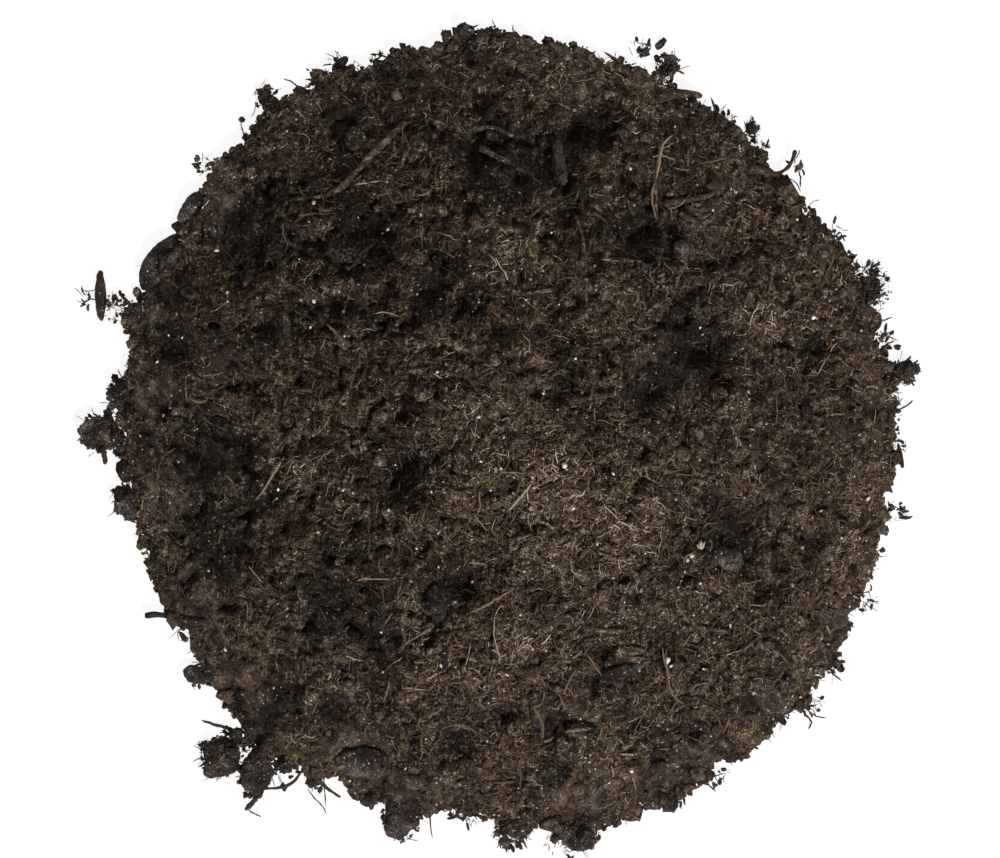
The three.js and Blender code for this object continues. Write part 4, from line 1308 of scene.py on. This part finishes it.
# Puts a finer copy in place of a node. Its grain coordinates run along its own length.
def add_scrap(node, material, levels, grow, roughs):
    corners, faces = fine_copy(node, levels, grow, roughs)
    corners = shrunk(node, corners)
    middle = corners.mean(0)
    along = np.linalg.svd(corners - middle, full_matrices=False)[2]
    turned = (corners - middle) @ along.T
    values = {"tint": np.full(len(corners), 0.45)}
    piece = mesh_object(node + "_detail", corners, faces, material, None, values)
    layer = piece.data.attributes.new("grain", "FLOAT_VECTOR", "POINT")
    layer.data.foreach_set("vector", floats(turned * GRAIN_STRETCH))
    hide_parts(node)


def scraps():
    for number, node in enumerate(SCRAPS):
        slot = SLOT_OF[node]
        levels = 2 if len(frame["nodes"][node].data.polygons) < FEW_FACES else 1
        if slot in WOODY:
            roughs = [(6 * MM, 0.35 * MM, number), (1.6 * MM, 0.22 * MM, number + 50)]
            add_scrap(node, WOODY[slot], 2, 0.12 * MM - THINNED.get(node, 0), roughs)
        else:
            rough = (SLAB_SHARE if node.startswith("slab") else 1) * MM
            roughs = [(8 * MM, 1.6 * rough, number), (4 * MM, 1.3 * rough, number + 30)]
            roughs += [(1.7 * MM, 0.9 * rough, number + 50)]
            add_scrap(node, grain if slot == "grain" else clod, levels, 0.1 * MM, roughs)


# Floor, light and camera

# A floor that keeps the heap's shadow and looks almost white. It lies a little below the heap's underside.
def white_floor():
    half, drop = 40, 0.2 * MM
    corners = [(x * half, y * half, -drop) for x, y in ((-1, -1), (1, -1), (1, 1), (-1, 1))]
    mesh = bpy.data.meshes.new("floor")
    mesh.from_pydata(corners, [], [(0, 1, 2, 3)])
    floor = placed("floor", mesh)
    f = Finish("pale_floor")
    paths = f.node("ShaderNodeLightPath").outputs
    seen = f.maths("MAXIMUM", paths["Is Camera Ray"], paths["Is Glossy Ray"])
    seen = f.maths("MAXIMUM", seen, paths["Is Transmission Ray"])
    plain = f.node("ShaderNodeBsdfDiffuse", {"Color": (0.8, 0.8, 0.8, 1)})
    glow = f.node("ShaderNodeEmission", {"Color": (1, 1, 1, 1), "Strength": 0.88})
    lit = f.node("ShaderNodeBsdfDiffuse", {"Color": (0.2, 0.2, 0.2, 1)})
    both = f.node("ShaderNodeAddShader", {0: glow.outputs[0], 1: lit.outputs[0]})
    out = f.node("ShaderNodeMixShader", {0: seen, 1: plain.outputs[0], 2: both.outputs[0]})
    f.tree.links.new(out.outputs[0], f.tree.nodes["Material Output"].inputs["Surface"])
    f.tree.nodes.remove(f.shader)
    mesh.materials.append(f.material)


# A lamp that shines from a direction in degrees. Softness is how wide it looks, in degrees.
def sun(name, strength, softness, azimuth, elevation):
    lamp = bpy.data.lights.new(name, "SUN")
    lamp.energy = strength
    lamp.angle = math.radians(softness)
    holder = placed(name, lamp)
    turn, rise = math.radians(azimuth), math.radians(elevation)
    toward = Vector((math.cos(turn) * math.cos(rise), math.sin(turn) * math.cos(rise), math.sin(rise)))
    holder.rotation_mode = "QUATERNION"
    holder.rotation_quaternion = toward.to_track_quat("Z", "Y")


# A white backdrop with a dimmer even light behind it, a soft key lamp and a weak fill lamp
def studio():
    world = bpy.data.worlds.new("studio")
    bpy.context.scene.world = world
    world.use_nodes = True
    nodes, links = world.node_tree.nodes, world.node_tree.links
    sky = nodes["Background"]
    sky.inputs["Color"].default_value = (1, 1, 1, 1)
    sky.inputs["Strength"].default_value = 0.24
    white = nodes.new("ShaderNodeBackground")
    white.inputs["Strength"].default_value = 1
    paths, pick = nodes.new("ShaderNodeLightPath"), nodes.new("ShaderNodeMixShader")
    links.new(paths.outputs["Is Camera Ray"], pick.inputs[0])
    links.new(sky.outputs[0], pick.inputs[1])
    links.new(white.outputs[0], pick.inputs[2])
    links.new(pick.outputs[0], nodes["World Output"].inputs["Surface"])
    white.inputs["Color"].default_value = (1, 1, 1, 1)
    sun("key", strength=3.2, softness=12, azimuth=-60, elevation=46)
    sun("fill", strength=0.35, softness=40, azimuth=120, elevation=60)


# A camera that looks straight down and sees the photograph's width
def camera():
    lens = bpy.data.cameras.new("camera")
    lens.lens = lens.sensor_width * CAMERA_HEIGHT / PHOTO_SPAN
    lens.clip_start, lens.clip_end = 0.1, 100
    holder = placed("camera", lens)
    holder.location = (*plan(PHOTO_WIDTH / 2, PHOTO_HEIGHT / 2), CAMERA_HEIGHT)
    bpy.context.scene.camera = holder


camera()
studio()
white_floor()
compost_skin()
crumbs()
small_clods()
fibres()
named_strands()
shreds()
grains()
rim_crumbs()
rim_clumps()
rim_needles()
clod_litter()
fringes()
scraps()

bpy.context.scene.view_settings.view_transform = "Standard"
